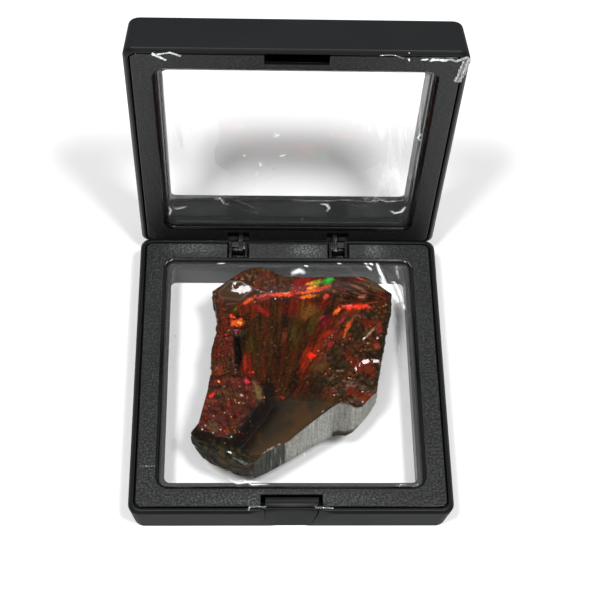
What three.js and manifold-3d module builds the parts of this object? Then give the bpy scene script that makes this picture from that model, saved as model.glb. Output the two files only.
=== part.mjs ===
// Ammolite specimen in its hinged display box, standing open.
//
// The box is two like halves. Each half is a drafted outer shell with a square window, a clear
// stretch film laid over the window, and an inner frame that clamps the film. The lower half lies
// on the table and the specimen rests on its film. The upper half stands upright on two hinge arms,
// whose pins turn in the lower shell.
//
// Units are millimetres. +X is to the right, +Y to the back where the hinge is, +Z up.

import * as THREE from 'three';
import { mergeVertices } from 'three/addons/utils/BufferGeometryUtils.js';
import Module from 'manifold-3d';

const wasm = await Module();
wasm.setup();

// ---------------------------------------------------------------------------
// Driving dimensions
// ---------------------------------------------------------------------------

const GAP = 0.3;                  // between pieces that touch or run in each other

// Each half of the box, measured from its middle (half sizes) and up from its outer face
const HALF_WIDTH = 35;            // at the widest line, just under the rim
const HALF_THICKNESS = 9.4;       // outer face to parting face
const BOTTOM_HALF_WIDTH = 34.2;   // at the outer face: the walls have draft
const CORNER_RADIUS = 2.4;        // outer corners, seen from above
const EDGE_CHAMFER = 0.3;         // round the outer face and its window
const RIM_CHAMFER = 0.6;          // outer edge of the rim
const RIM_INNER = 33.8;           // inside of the rim
const STEP_INNER = 32.6;          // inside of the thick wall under the rim
const STEP_FOOT = 32.1;           // the same wall where it meets the floor
const FLOOR = 1.4;                // thickness of the outer face
const POCKET_CORNER_RADIUS = 1.6; // corners inside the rim
const WINDOW_CORNER_RADIUS = 4;
const WINDOW_TOP = 27.5;          // window at film height
const WINDOW_BOTTOM = 28;         // window at the outer face
const WINDOW_WALL = 1.4;          // thickness of the upright wall round the window
const FILM_SEAT = 8.3;            // height of the faces that carry the film

// Inner frame
const FRAME_OUTER = 33.5;         // leaves the fine groove inside the rim
const FRAME_LEDGE = 29.3;         // inner edge of the flat ledge
const FRAME_LIP = 28.65;          // inner edge of the glossy lip
const FRAME_UNDERSIDE = 8.65;
const FRAME_CORNER_RADIUS = 1.4;
const LIP_DROP = 0.35;

// Films
const FILM_THICKNESS = 0.2;
const FILM_HALF = 32.8;
const FILM_CORNER_RADIUS = 1.4;
const FILM_CLEARANCE = 0.05;
const FILM_SAG = 1.8;             // of the lower film, under the specimen's weight
const SAG_HALF = 26.9;            // the film is free to sag this far from the middle
const SAG_CELLS = 22;

// Hinge: one axis along X, near the back edge of the lower half
const HINGE_Y = 33.4;
const HINGE_Z = 6.6;
const OPEN_ANGLE = Math.PI / 2;
const CHEEK = [9.7, 10.35];       // inner cheek of each hinge, distances from the middle
const ARM = [10.65, 11.85];       // the upper half's arm
const EAR = [13.4, 14.1];         // outer ear, which holds the pin
const SLOT = [9.4, 14.4];         // slot in both inner frames
const SLOT_DEPTH = 29.65;         // how far in the slot reaches, from the middle
const LID_SLOT_DEPTH = 30.55;     // the same in the upper half
const ARM_TIP_RADIUS = 0.9;
const ARM_ROOT = [31.4, 34.3];    // where the arm leaves the upper half
const ARM_SHOULDER = 0.2;         // height of its front corner above the parting face
const PIN_RADIUS = 0.8;
const PIN_END = 13.95;
const SILL = 5.35;                // the arm rests just above it when the lid stands open
const PLATE_TOP = 9.25;           // top of ear and cheek

// Catch on the front edge
const TONGUE_HALF = 5.7;
const TONGUE = [32.5, 33.4];
const TONGUE_TOP = 12.2;
const BEAD_RADIUS = 0.4;          // snap bead on the tongue's face, half of it standing proud
const BEAD_DROP = 0.7;            // from the tongue's top
const NOTCH_HALF = 6.6;
const NOTCH_DEPTH = 30.8;
const TONGUE_POCKET = [31, 33.9]; // the recess in the upper half that takes the tongue
const TONGUE_POCKET_DEPTH = 3.2;
const THUMB_RADIUS = 42;          // shallow scoop in the front wall
const THUMB_DEPTH = 1;

const OVER = 1;                   // how far a cutting tool runs past the face it cuts

// ---------------------------------------------------------------------------
// Solids
// ---------------------------------------------------------------------------

// A closed three.js geometry as a solid that can be joined and cut.
function solid(geometry) {
  const bare = geometry.clone();
  bare.deleteAttribute('normal');
  bare.deleteAttribute('uv');
  const merged = mergeVertices(bare, 1e-4);
  return new wasm.Manifold(new wasm.Mesh({
    numProp: 3,
    vertProperties: Float32Array.from(merged.attributes.position.array),
    triVerts: Uint32Array.from(merged.index.array),
  }));
}

// A solid back as a geometry with flat faces.
function geometryOf(manifold) {
  const { vertProperties, triVerts } = manifold.getMesh();
  const geometry = new THREE.BufferGeometry();
  geometry.setAttribute('position', new THREE.BufferAttribute(vertProperties, 3));
  geometry.setIndex(new THREE.BufferAttribute(triVerts, 1));
  geometry.computeVertexNormals();
  return geometry;
}

// A box between two corners.
function boxBetween([x0, y0, z0], [x1, y1, z1]) {
  const geometry = new THREE.BoxGeometry(x1 - x0, y1 - y0, z1 - z0);
  geometry.translate((x0 + x1) / 2, (y0 + y1) / 2, (z0 + z1) / 2);
  return solid(geometry);
}

// The same box on the left and on the right of the middle.
function boxesBothSides([inner, outer], [y0, y1], [z0, z1]) {
  const right = boxBetween([inner, y0, z0], [outer, y1, z1]);
  const left = boxBetween([-outer, y0, z0], [-inner, y1, z1]);
  return right.add(left);
}

// A round bar along X.
function barAlongX(radius, [x0, x1], [y, z], sides = 20) {
  const geometry = new THREE.CylinderGeometry(radius, radius, x1 - x0, sides);
  geometry.rotateZ(Math.PI / 2);
  geometry.translate((x0 + x1) / 2, y, z);
  return solid(geometry);
}

function extruded(outline, depth) {
  const shape = new THREE.Shape(outline.map(([a, b]) => new THREE.Vector2(a, b)));
  return new THREE.ExtrudeGeometry(shape, { depth, bevelEnabled: false });
}

// An outline in X and Y, extruded from one height to another.
function prism(outline, [z0, z1]) {
  const geometry = extruded(outline, z1 - z0);
  geometry.translate(0, 0, z0);
  return solid(geometry);
}

// An outline in Y and Z, extruded along X.
function plateAcrossX(outline, [x0, x1]) {
  const alongX = new THREE.Vector3(1, 0, 0);
  const alongY = new THREE.Vector3(0, 1, 0);
  const alongZ = new THREE.Vector3(0, 0, 1);
  const geometry = extruded(outline, x1 - x0);
  geometry.applyMatrix4(new THREE.Matrix4().makeBasis(alongY, alongZ, alongX));
  geometry.translate(x0, 0, 0);
  return solid(geometry);
}

// Everything beyond a plane: a large block that stands on the plane through `point`, on the side
// that `direction` points to.
function beyondPlane([point, direction]) {
  const size = 120;
  const geometry = new THREE.BoxGeometry(size, size, size);
  geometry.translate(0, 0, size / 2);
  const turn = new THREE.Quaternion();
  turn.setFromUnitVectors(new THREE.Vector3(0, 0, 1), new THREE.Vector3(...direction).normalize());
  geometry.applyQuaternion(turn);
  geometry.translate(...point);
  return solid(geometry);
}

// One square loop with round corners, at half size `half`.
function roundedSquare(half, radius, steps = 6) {
  const reach = (half - radius) * Math.SQRT2;
  const points = [];
  for (let corner = 0; corner < 4; corner += 1) {
    const start = corner * Math.PI / 2;
    const middle = start + Math.PI / 4;
    for (let i = 0; i <= steps; i += 1) {
      const angle = start + (i / steps) * Math.PI / 2;
      points.push([
        reach * Math.cos(middle) + radius * Math.cos(angle),
        reach * Math.sin(middle) + radius * Math.sin(angle),
      ]);
    }
  }
  return points;
}

// Carries a closed section round the square. Each point of the section is [half size, height,
// corner radius]. The section runs counter-clockwise, with half size to the right and height up.
function squareRing(section) {
  const loops = section.map(([half, , radius]) => roundedSquare(half, radius));
  const count = loops[0].length;
  const positions = [];
  section.forEach(([, height], i) => {
    loops[i].forEach(([x, y]) => positions.push(x, y, height));
  });
  const index = [];
  for (let i = 0; i < section.length; i += 1) {
    const next = (i + 1) % section.length;
    for (let j = 0; j < count; j += 1) {
      const across = (j + 1) % count;
      const a = i * count + j;
      const b = i * count + across;
      const c = next * count + across;
      const d = next * count + j;
      index.push(a, b, c, a, c, d);
    }
  }
  const geometry = new THREE.BufferGeometry();
  geometry.setAttribute('position', new THREE.Float32BufferAttribute(positions, 3));
  geometry.setIndex(index);
  return solid(geometry);
}

// ---------------------------------------------------------------------------
// One half of the box, outer face down, before its hinge and catch are added
// ---------------------------------------------------------------------------

const TOP = HALF_THICKNESS;
const WALL_DRAFT = (HALF_WIDTH - BOTTOM_HALF_WIDTH) / (TOP - RIM_CHAMFER);

function shellRing() {
  const outer = CORNER_RADIUS;
  const pocket = POCKET_CORNER_RADIUS;
  const wallOuter = WINDOW_CORNER_RADIUS + WINDOW_WALL;
  const window = WINDOW_CORNER_RADIUS;
  return squareRing([
    [BOTTOM_HALF_WIDTH - EDGE_CHAMFER, 0, outer],
    [BOTTOM_HALF_WIDTH + EDGE_CHAMFER * WALL_DRAFT, EDGE_CHAMFER, outer],
    [HALF_WIDTH, TOP - RIM_CHAMFER, outer],
    [HALF_WIDTH - RIM_CHAMFER, TOP, outer],
    [RIM_INNER, TOP, pocket],
    [RIM_INNER, FILM_SEAT, pocket],
    [STEP_INNER, FILM_SEAT, pocket],
    [STEP_FOOT, FLOOR, pocket],
    [WINDOW_BOTTOM + WINDOW_WALL, FLOOR, wallOuter],
    [WINDOW_TOP + WINDOW_WALL, FILM_SEAT, wallOuter],
    [WINDOW_TOP, FILM_SEAT, window],
    [WINDOW_BOTTOM, EDGE_CHAMFER, window],
    [WINDOW_BOTTOM + EDGE_CHAMFER, 0, window],
  ]);
}

function frameRing() {
  const outer = FRAME_CORNER_RADIUS;
  const lip = WINDOW_CORNER_RADIUS;
  const ledge = lip + FRAME_LEDGE - FRAME_LIP;
  return squareRing([
    [FRAME_LIP, FRAME_UNDERSIDE, lip],
    [FRAME_OUTER, FRAME_UNDERSIDE, outer],
    [FRAME_OUTER, TOP, outer],
    [FRAME_LEDGE, TOP, ledge],
    [FRAME_LIP, TOP - LIP_DROP, lip],
  ]);
}

// How far the lower film hangs below its seat at a point of the window.
function filmSag(x, y) {
  const u = Math.min(1, Math.abs(x) / SAG_HALF);
  const v = Math.min(1, Math.abs(y) / SAG_HALF);
  return FILM_SAG * (1 - u * u) * (1 - v * v);
}

// A film: a thin square sheet with round corners, sagging or flat.
function filmSheet(sag, cells) {
  const middle = FILM_SEAT + FILM_CLEARANCE + FILM_THICKNESS / 2;
  const size = 2 * (FILM_HALF + OVER);
  const geometry = new THREE.BoxGeometry(size, size, FILM_THICKNESS, cells, cells, 1);
  const position = geometry.attributes.position;
  for (let i = 0; i < position.count; i += 1) {
    const lowered = sag(position.getX(i), position.getY(i));
    position.setZ(i, position.getZ(i) + middle - lowered);
  }
  const trimmed = prism(roundedSquare(FILM_HALF, FILM_CORNER_RADIUS), [0, TOP]);
  return solid(geometry).intersect(trimmed);
}

// Slots for the hinge, open to the back edge, in a film or an inner frame.
function hingeSlots(front) {
  return boxesBothSides(SLOT, [front, HALF_WIDTH + OVER], [FLOOR, TOP + OVER]);
}

// The notch for the catch in a film or an inner frame, open to the front edge.
function catchNotch(clearance = 0) {
  const half = NOTCH_HALF + clearance;
  const back = -NOTCH_DEPTH + clearance;
  return boxBetween([-half, -HALF_WIDTH - OVER, FLOOR], [half, back, TOP + OVER]);
}

// The scoop that a thumb nail finds in the front wall.
function thumbScoop() {
  const geometry = new THREE.CylinderGeometry(THUMB_RADIUS, THUMB_RADIUS, 3 * TOP, 180);
  geometry.rotateX(Math.PI / 2);
  geometry.translate(0, -HALF_WIDTH + THUMB_DEPTH - THUMB_RADIUS, 0);
  return solid(geometry);
}

// ---------------------------------------------------------------------------
// Lower half
// ---------------------------------------------------------------------------

// An upright plate of the hinge on each side, from the floor to just under the ledge.
function hingePlates(plate) {
  const windowWall = WINDOW_BOTTOM + WINDOW_WALL / 2;
  const behindPin = HINGE_Y + PIN_RADIUS;
  const low = boxesBothSides(plate, [windowWall, behindPin], [FLOOR / 2, FILM_SEAT]);
  const high = boxesBothSides(plate, [SLOT_DEPTH + GAP, behindPin], [FILM_SEAT - OVER, PLATE_TOP]);
  return low.add(high);
}

// The blind bore in each ear, in which the pin turns.
function pinBores() {
  const radius = PIN_RADIUS + GAP;
  const mouth = EAR[0] - GAP;
  const end = PIN_END + GAP;
  const right = barAlongX(radius, [mouth, end], [HINGE_Y, HINGE_Z]);
  const left = barAlongX(radius, [-end, -mouth], [HINGE_Y, HINGE_Z]);
  return right.add(left);
}

// The catch: an upright tongue with its snap bead.
function catchTongue() {
  const plate = boxBetween(
    [-TONGUE_HALF, -TONGUE[1], FILM_SEAT - OVER],
    [TONGUE_HALF, -TONGUE[0], TONGUE_TOP],
  );
  const beadAt = [-TONGUE[1] + BEAD_RADIUS / 2, TONGUE_TOP - BEAD_DROP];
  return plate.add(barAlongX(BEAD_RADIUS, [-TONGUE_HALF, TONGUE_HALF], beadAt, 10));
}

// What the hinge and the catch take out of the lower shell.
function baseCuts() {
  const back = [STEP_INNER - OVER, HALF_WIDTH + OVER];
  const arms = boxesBothSides([CHEEK[1], EAR[0]], back, [SILL, TOP + OVER]);
  const rimAtHinge = boxBetween([-EAR[0], back[0], FILM_SEAT], [EAR[0], back[1], TOP + OVER]);
  const rimAtCatch = boxBetween(
    [-TONGUE_HALF, -HALF_WIDTH - OVER, FILM_SEAT],
    [TONGUE_HALF, -STEP_INNER, TOP + OVER],
  );
  return arms.add(rimAtHinge).add(rimAtCatch).add(thumbScoop());
}

function baseShell() {
  return shellRing()
    .subtract(baseCuts())
    .add(hingePlates(CHEEK))
    .add(hingePlates(EAR))
    .add(catchTongue())
    .subtract(pinBores());
}

function baseInnerFrame() {
  return frameRing()
    .subtract(hingeSlots(SLOT_DEPTH))
    .subtract(catchNotch());
}

function baseFilm() {
  return filmSheet(filmSag, SAG_CELLS)
    .subtract(hingeSlots(SLOT_DEPTH - GAP))
    .subtract(catchNotch(GAP));
}

// ---------------------------------------------------------------------------
// Upper half, also modelled outer face down
// ---------------------------------------------------------------------------

// The hinge axis seen from the upper half.
const LID_HINGE_Z = 2 * TOP + GAP - HINGE_Z;

// One arm in Y and Z: a block in the shell that tapers to a round tip about the pin.
function armOutline() {
  const [front, back] = ARM_ROOT;
  const taper = Math.atan2(LID_HINGE_Z - TOP, HINGE_Y - front);
  const sweep = Math.PI - taper / 2;
  const steps = 8;
  const points = [[back, FLOOR / 2], [back, LID_HINGE_Z]];
  for (let i = 0; i <= steps; i += 1) {
    const angle = (i / steps) * sweep;
    points.push([
      HINGE_Y + ARM_TIP_RADIUS * Math.cos(angle),
      LID_HINGE_Z + ARM_TIP_RADIUS * Math.sin(angle),
    ]);
  }
  points.push([front, TOP + ARM_SHOULDER], [front, FLOOR / 2]);
  return points;
}

// Both arms, each with the pin that points outwards from it.
function lidArms() {
  const [inner, outer] = ARM;
  const outline = armOutline();
  const axis = [HINGE_Y, LID_HINGE_Z];
  const rightPin = barAlongX(PIN_RADIUS, [inner + GAP, PIN_END], axis);
  const leftPin = barAlongX(PIN_RADIUS, [-PIN_END, -inner - GAP], axis);
  const right = plateAcrossX(outline, [inner, outer]).add(rightPin);
  const left = plateAcrossX(outline, [-outer, -inner]).add(leftPin);
  return right.add(left);
}

function lidShell() {
  const half = NOTCH_HALF - GAP;
  const [back, front] = TONGUE_POCKET;
  const pocket = boxBetween([-half, -front, TOP - TONGUE_POCKET_DEPTH], [half, -back, TOP + OVER]);
  return shellRing()
    .subtract(pocket)
    .add(lidArms());
}

function lidInnerFrame() {
  return frameRing()
    .subtract(hingeSlots(LID_SLOT_DEPTH))
    .subtract(catchNotch());
}

function lidFilm() {
  return filmSheet(() => 0, 1)
    .subtract(hingeSlots(LID_SLOT_DEPTH - GAP))
    .subtract(catchNotch(GAP));
}

// ---------------------------------------------------------------------------
// Specimen: a slab of ammonite shell on its dark matrix, sawn off along one edge
// ---------------------------------------------------------------------------

// Outline seen from above, clockwise from the left tip of the back edge
const OUTLINE = [
  [-17.7, 17.6], [-16, 19.3], [-13.1, 21], [-9.8, 23.2], [-8, 24], [-5.4, 23.5], [-1, 21],
  [4.9, 21.6], [11.6, 21], [18.2, 20.6], [22.2, 18.7], [23.8, 17.6], [23.4, 12.8], [22.2, 8],
  [21.1, 2.8], [19.7, -3.3], [18.9, -9.7], [16, -13.4], [13, -16.6], [9, -17],
  [-8, -27], [-9.6, -27], [-16.2, -24.3], [-19.3, -22.3], [-21, -19.6], [-21.9, -17.8],
  [-20.4, -16.8], [-19, -13], [-18.3, -8.1], [-17.5, -3.3], [-17.8, 4], [-16.5, 7],
  [-16, 11.5], [-16.9, 15.2],
];

// The raised block of shell at the lower left
const BLOCK = [
  [-18.2, -5.2], [-11, -4.8], [-7.9, -5.7], [-5.5, -9.3], [-6.8, -12.1], [-9.2, -15],
  [-12.8, -20.2], [-15.6, -20.9], [-19.6, -18.6],
];
const BLOCK_TOP = 15.6;

// The dark corner below it, between the broken face and the sawn face
const CORNER = [
  [-21, -17.4], [-12.2, -19.4], [-10.4, -21.4], [-8, -23.2], [-5.2, -23.4], [-5.2, -28], [-22, -28],
];
const CORNER_TOP = 13.8;
const BLOCKS_FOOT = 10;           // both stand in the slab down to here

// Faces that cut the slab, each a point at its foot and an outward direction
const SAWN = [[0.6, -21.3, 7.5], [0.519, -0.854, 0.32]];      // the straight cut, leaning back
const SAWN_END = [[11, -16.1, 7.5], [-0.07, -1, 0.46]];       // its short end that juts out
const WORN = [[15.1, -14, 8], [0.746, -0.666, 0.24]];         // the worn end at the right
const BROKEN = [[-15.8, -24, 8.2], [-0.544, -0.838, 0.62]];   // at the lower left

// The upper side
const PLATE_HEIGHT = 14.3;        // in the middle of the shell plate
const PLATE_RISE = 0.035;         // of the plate to the right
const BACK_STRIP_STEP = 0.9;      // the strip along the back lies this much higher
const BACK_STRIP_Y = 17.2;        // where its edge crosses the middle
const BACK_STRIP_SLANT = 0.12;
const BACK_STRIP_SOFT = 0.6;      // half width of the step
const RIPPLE_HEIGHT = 0.12;
const RIPPLE_WAVE = [0.8, -0.45];
const DISH = [-1.2, [-1, 6], [9, 9]];        // height, middle, half width and half depth
const HUMP = [0.7, [-9, 21], [5, 3]];
const ROUGH_SWELLING = [0.5, [14, -3], [6, 6]];
const HOLLOW_POINT = [-0.7, -20.6, 11.4];    // the smooth hollow that falls to the sawn edge
const HOLLOW_RISE = [0.14, 0.34];
const HOLLOW_LEFT = -1.5;                    // left of this it rises again
const HOLLOW_LEFT_RISE = 0.25;

const SLAB_SIZE = 58;             // the grid that the slab is cut from
const SLAB_CELLS = 40;

function smoothStep(edge0, edge1, value) {
  const t = Math.min(1, Math.max(0, (value - edge0) / (edge1 - edge0)));
  return t * t * (3 - 2 * t);
}

// A round swelling, or a dish where its height is negative.
function swelling([height, [x0, y0], [wide, deep]], x, y) {
  return height * Math.exp(-(((x - x0) / wide) ** 2) - (((y - y0) / deep) ** 2));
}

// Height of the upper side: a dished plate with a higher strip along the back, a hump at the
// back left, a rough swelling at the right, and a smooth hollow that falls to the sawn edge.
function reliefHeight(x, y) {
  const pastStep = y - BACK_STRIP_Y - BACK_STRIP_SLANT * x;
  const plate = PLATE_HEIGHT
    + PLATE_RISE * x
    + BACK_STRIP_STEP * smoothStep(-BACK_STRIP_SOFT, BACK_STRIP_SOFT, pastStep)
    + swelling(DISH, x, y)
    + swelling(HUMP, x, y)
    + swelling(ROUGH_SWELLING, x, y)
    + RIPPLE_HEIGHT * Math.sin(RIPPLE_WAVE[0] * x + RIPPLE_WAVE[1] * y);
  const hollow = HOLLOW_POINT[2]
    + HOLLOW_RISE[0] * (x - HOLLOW_POINT[0])
    + HOLLOW_RISE[1] * (y - HOLLOW_POINT[1])
    + HOLLOW_LEFT_RISE * Math.max(0, HOLLOW_LEFT - x);
  return Math.min(plate, hollow);
}

function specimen() {
  const underside = FILM_SEAT + FILM_CLEARANCE + FILM_THICKNESS + GAP;
  const geometry = new THREE.BoxGeometry(SLAB_SIZE, SLAB_SIZE, 1, SLAB_CELLS, SLAB_CELLS, 1);
  const position = geometry.attributes.position;
  for (let i = 0; i < position.count; i += 1) {
    const x = position.getX(i);
    const y = position.getY(i);
    const isTop = position.getZ(i) > 0;
    position.setZ(i, isTop ? reliefHeight(x, y) : underside - filmSag(x, y));
  }
  const block = prism(BLOCK, [BLOCKS_FOOT, BLOCK_TOP]);
  const corner = prism(CORNER, [BLOCKS_FOOT, CORNER_TOP]);
  const outline = prism(OUTLINE, [0, BLOCK_TOP + OVER]);
  const sawnOff = beyondPlane(SAWN).intersect(beyondPlane(SAWN_END));
  return solid(geometry)
    .add(block.add(corner))
    .intersect(outline)
    .subtract(sawnOff)
    .subtract(beyondPlane(WORN))
    .subtract(beyondPlane(BROKEN));
}

// ---------------------------------------------------------------------------
// Assembly
// ---------------------------------------------------------------------------

function mesh(name, manifold, material) {
  const result = new THREE.Mesh(geometryOf(manifold), material);
  result.name = name;
  return result;
}

const blackShell = () => new THREE.MeshStandardMaterial({
  color: 0x1f2021, roughness: 0.45, metalness: 0,
});
const blackFrame = () => new THREE.MeshStandardMaterial({
  color: 0x2b2c2e, roughness: 0.55, metalness: 0,
});
const clearFilm = () => new THREE.MeshStandardMaterial({
  color: 0xf2f5f5, roughness: 0.08, metalness: 0, transparent: true, opacity: 0.25,
});
const ammolite = new THREE.MeshStandardMaterial({
  color: 0x4f2318, roughness: 0.25, metalness: 0.1,
});

const base = new THREE.Group();
base.add(
  mesh('base_shell', baseShell(), blackShell()),
  mesh('base_film', baseFilm(), clearFilm()),
  mesh('base_inner_frame', baseInnerFrame(), blackFrame()),
  mesh('ammolite_specimen', specimen(), ammolite),
);

// The upper half is turned over onto the lower one, then swung open about the hinge axis.
const lidShut = new THREE.Group();
lidShut.rotation.y = Math.PI;
lidShut.position.set(0, -HINGE_Y, LID_HINGE_Z);
lidShut.add(
  mesh('lid_shell', lidShell(), blackShell()),
  mesh('lid_film', lidFilm(), clearFilm()),
  mesh('lid_inner_frame', lidInnerFrame(), blackFrame()),
);
const lidHinge = new THREE.Group();
lidHinge.position.set(0, HINGE_Y, HINGE_Z);
lidHinge.rotation.x = -OPEN_ANGLE;
lidHinge.add(lidShut);

// The origin lies under the middle of the whole open box.
const lidBack = HINGE_Y + LID_HINGE_Z;
const box = new THREE.Group();
box.position.y = (HALF_WIDTH - lidBack) / 2;
box.add(base, lidHinge);

const part = new THREE.Group();
part.add(box);

export default part;
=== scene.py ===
"""Ammolite specimen in its hinged display box, standing open.

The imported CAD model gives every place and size. The pieces are drawn in the box's own
millimetres: x to the right along the hinge, y to the back, z up from the table, and the middle
of the lower half at the origin. Function place() turns these into the frame's metres.
"""

import math
from functools import partial

import bmesh
import bpy
import numpy as np
from mathutils import Matrix, Vector


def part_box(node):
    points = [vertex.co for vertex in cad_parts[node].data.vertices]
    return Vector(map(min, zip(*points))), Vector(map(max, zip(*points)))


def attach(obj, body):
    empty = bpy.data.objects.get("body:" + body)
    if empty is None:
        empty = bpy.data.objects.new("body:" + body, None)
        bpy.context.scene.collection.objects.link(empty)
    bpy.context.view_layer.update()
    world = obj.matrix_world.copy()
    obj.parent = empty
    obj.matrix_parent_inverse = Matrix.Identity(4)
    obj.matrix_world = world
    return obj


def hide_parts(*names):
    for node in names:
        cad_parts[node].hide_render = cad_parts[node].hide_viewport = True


bl_info = {
    "name": "Ammolite Specimen Box",
    "version": (1, 0, 0),
    "blender": (4, 5, 0),
    "location": "View3D > Sidebar > Ammolite",
    "description": "Draws an ammolite specimen on the film of its hinged display box",
    "category": "Add Mesh",
}

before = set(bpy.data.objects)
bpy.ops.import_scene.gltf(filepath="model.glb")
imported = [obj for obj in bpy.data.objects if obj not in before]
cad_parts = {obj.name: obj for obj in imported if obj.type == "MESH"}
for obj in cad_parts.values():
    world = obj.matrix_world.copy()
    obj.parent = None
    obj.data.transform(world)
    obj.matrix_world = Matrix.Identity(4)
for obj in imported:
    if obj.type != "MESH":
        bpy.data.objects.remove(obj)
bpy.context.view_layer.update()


# --- Sizes, in the box's millimetres ---

MM = 0.001


def cad_span(name, axis):
    """Lowest and highest coordinate of a CAD node along an axis, in millimetres."""
    low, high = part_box(name)
    return low[axis] / MM, high[axis] / MM


BASE_FRONT, BASE_BACK = cad_span("base_shell", 1)
BOX_MIDDLE_Y = (BASE_FRONT + BASE_BACK) / 2      # the frame's y of the lower half's middle
HALF_WIDTH = cad_span("base_shell", 0)[1]
PARTING = cad_span("base_inner_frame", 2)[1]     # height of a half's parting face
FILM_HALF = cad_span("base_film", 0)[1]
HALF_FILM = 0.1                                  # half the thickness of the CAD's films
FILM_HEIGHT = cad_span("base_film", 2)[1] - HALF_FILM    # a film's middle at its seat
LID_OUTER_Y = cad_span("lid_shell", 1)[1] - BOX_MIDDLE_Y
LID_TOP = cad_span("lid_shell", 2)[1]
LID_MIDDLE_Z = LID_TOP - HALF_WIDTH

WINDOW_HALF = 28          # half width of a window
LIP_INNER = 28.65         # inner edge of the inner frame's lip
SLOT = (9.4, 14.4)        # hinge slots in the films, distances from the middle
BASE_SLOT_DEPTH = 29.35   # how far in they reach, from the middle
LID_SLOT_DEPTH = 30.25
NOTCH_HALF = 6.9          # notch for the catch
NOTCH_DEPTH = 30.5

FILM_SAG = 1.8            # of the lower film under the specimen
SAG_HALF = 26.9
FILM_LINES = 185          # even lines of a film's grid, each way


def place(points):
    """The box's millimetres as the frame's metres."""
    return (np.asarray(points, float) + (0.0, BOX_MIDDLE_Y, 0.0)) * MM


def taken_back(points):
    """Columns of the box's millimetres from the frame's metres."""
    return (points / MM - (0.0, BOX_MIDDLE_Y, 0.0)).T


def lid_from_half(x, y, z):
    """A point of a half that lies outer face down, as a point of the upright upper half."""
    return -x, LID_OUTER_Y - z, LID_MIDDLE_Z - y


def half_from_lid(x, y, z):
    """The way back: a point of the upright upper half in the half's own coordinates."""
    return -x, LID_MIDDLE_Z - z, LID_OUTER_Y - y


def film_sag(x, y):
    """How far the lower film hangs: full in the middle, falling as a parabola to each side."""
    u = np.minimum(1, np.abs(x) / SAG_HALF)
    v = np.minimum(1, np.abs(y) / SAG_HALF)
    return FILM_SAG * (1 - u * u) * (1 - v * v)


# --- Shape helpers ---

def mix(a, b, share):
    return a + (b - a) * share


def soft_step(low, high, value):
    """0 below low, 1 above high, and a smooth S between."""
    t = np.clip((value - low) / (high - low), 0, 1)
    return t * t * (3 - 2 * t)


def hills(x, y, seed=0):
    """Gradient noise: smooth random hills about one unit apart, from about -1 to 1. Each corner
    of a cell slopes in a direction that the far digits of a sine give, and the four slopes are
    blended with a smooth S."""
    cell_x, cell_y = np.floor(x), np.floor(y)
    in_x, in_y = x - cell_x, y - cell_y

    def corner(dx, dy):
        spin = np.sin((cell_x + dx) * 127.1 + (cell_y + dy) * 311.7 + seed * 74.7) * 43758.5453
        angle = 2 * math.pi * (spin - np.floor(spin))
        return np.cos(angle) * (in_x - dx) + np.sin(angle) * (in_y - dy)

    ease_x, ease_y = soft_step(0, 1, in_x), soft_step(0, 1, in_y)
    front = mix(corner(0, 0), corner(1, 0), ease_x)
    back = mix(corner(0, 1), corner(1, 1), ease_x)
    return 1.5 * mix(front, back, ease_y)


def rough_hills(x, y, octaves=4, seed=0):
    """Hills with finer hills on them, each octave half as wide and half as high."""
    total = np.zeros(np.broadcast(x, y).shape)
    for octave in range(octaves):
        scale = 2.0 ** octave
        total += hills(x * scale, y * scale, seed + octave) / scale
    return total


def from_path(x, y, path):
    """Distance of each point from a line of straight pieces, and how far along it is, 0 to 1."""
    path = np.asarray(path, float)
    lengths = np.hypot(*np.diff(path, axis=0).T)
    starts = np.concatenate([[0], np.cumsum(lengths)])
    nearest = np.full(np.shape(x), np.inf)
    along = np.zeros(np.shape(x))
    for start, (x0, y0), (x1, y1), length in zip(starts, path, path[1:], lengths):
        t = ((x - x0) * (x1 - x0) + (y - y0) * (y1 - y0)) / length ** 2
        t = np.clip(t, 0, 1)
        distance = np.hypot(x - mix(x0, x1, t), y - mix(y0, y1, t))
        closer = distance < nearest
        nearest = np.where(closer, distance, nearest)
        along = np.where(closer, (start + t * length) / starts[-1], along)
    return nearest, along


def inside(x, y, outline):
    """Distance to the nearest side of an outline, negative for points outside it."""
    nearest, _ = from_path(x, y, outline + outline[:1])
    within = np.zeros(np.shape(x), bool)
    for (x0, y0), (x1, y1) in zip(outline, outline[1:] + outline[:1]):
        if y0 != y1:
            crossing = x0 + (y - y0) * (x1 - x0) / (y1 - y0)
            within ^= ((y0 > y) != (y1 > y)) & (x < crossing)
    return np.where(within, nearest, -nearest)


def spot(x, y, centre, half_length, half_width, degrees):
    """A long round spot: 0 at its middle, 1 at its rim, growing outwards."""
    angle = math.radians(degrees)
    dx, dy = x - centre[0], y - centre[1]
    along = dx * math.cos(angle) + dy * math.sin(angle)
    across = dy * math.cos(angle) - dx * math.sin(angle)
    return np.hypot(along / half_length, across / half_width)


def grid_faces(rows, columns):
    """Four-sided faces of a grid whose vertices run row by row, facing up for x right, y back."""
    first = np.arange(rows - 1)[:, None] * columns + np.arange(columns - 1)[None, :]
    return np.stack([first, first + 1, first + 1 + columns, first + columns], -1).reshape(-1, 4)


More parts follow.
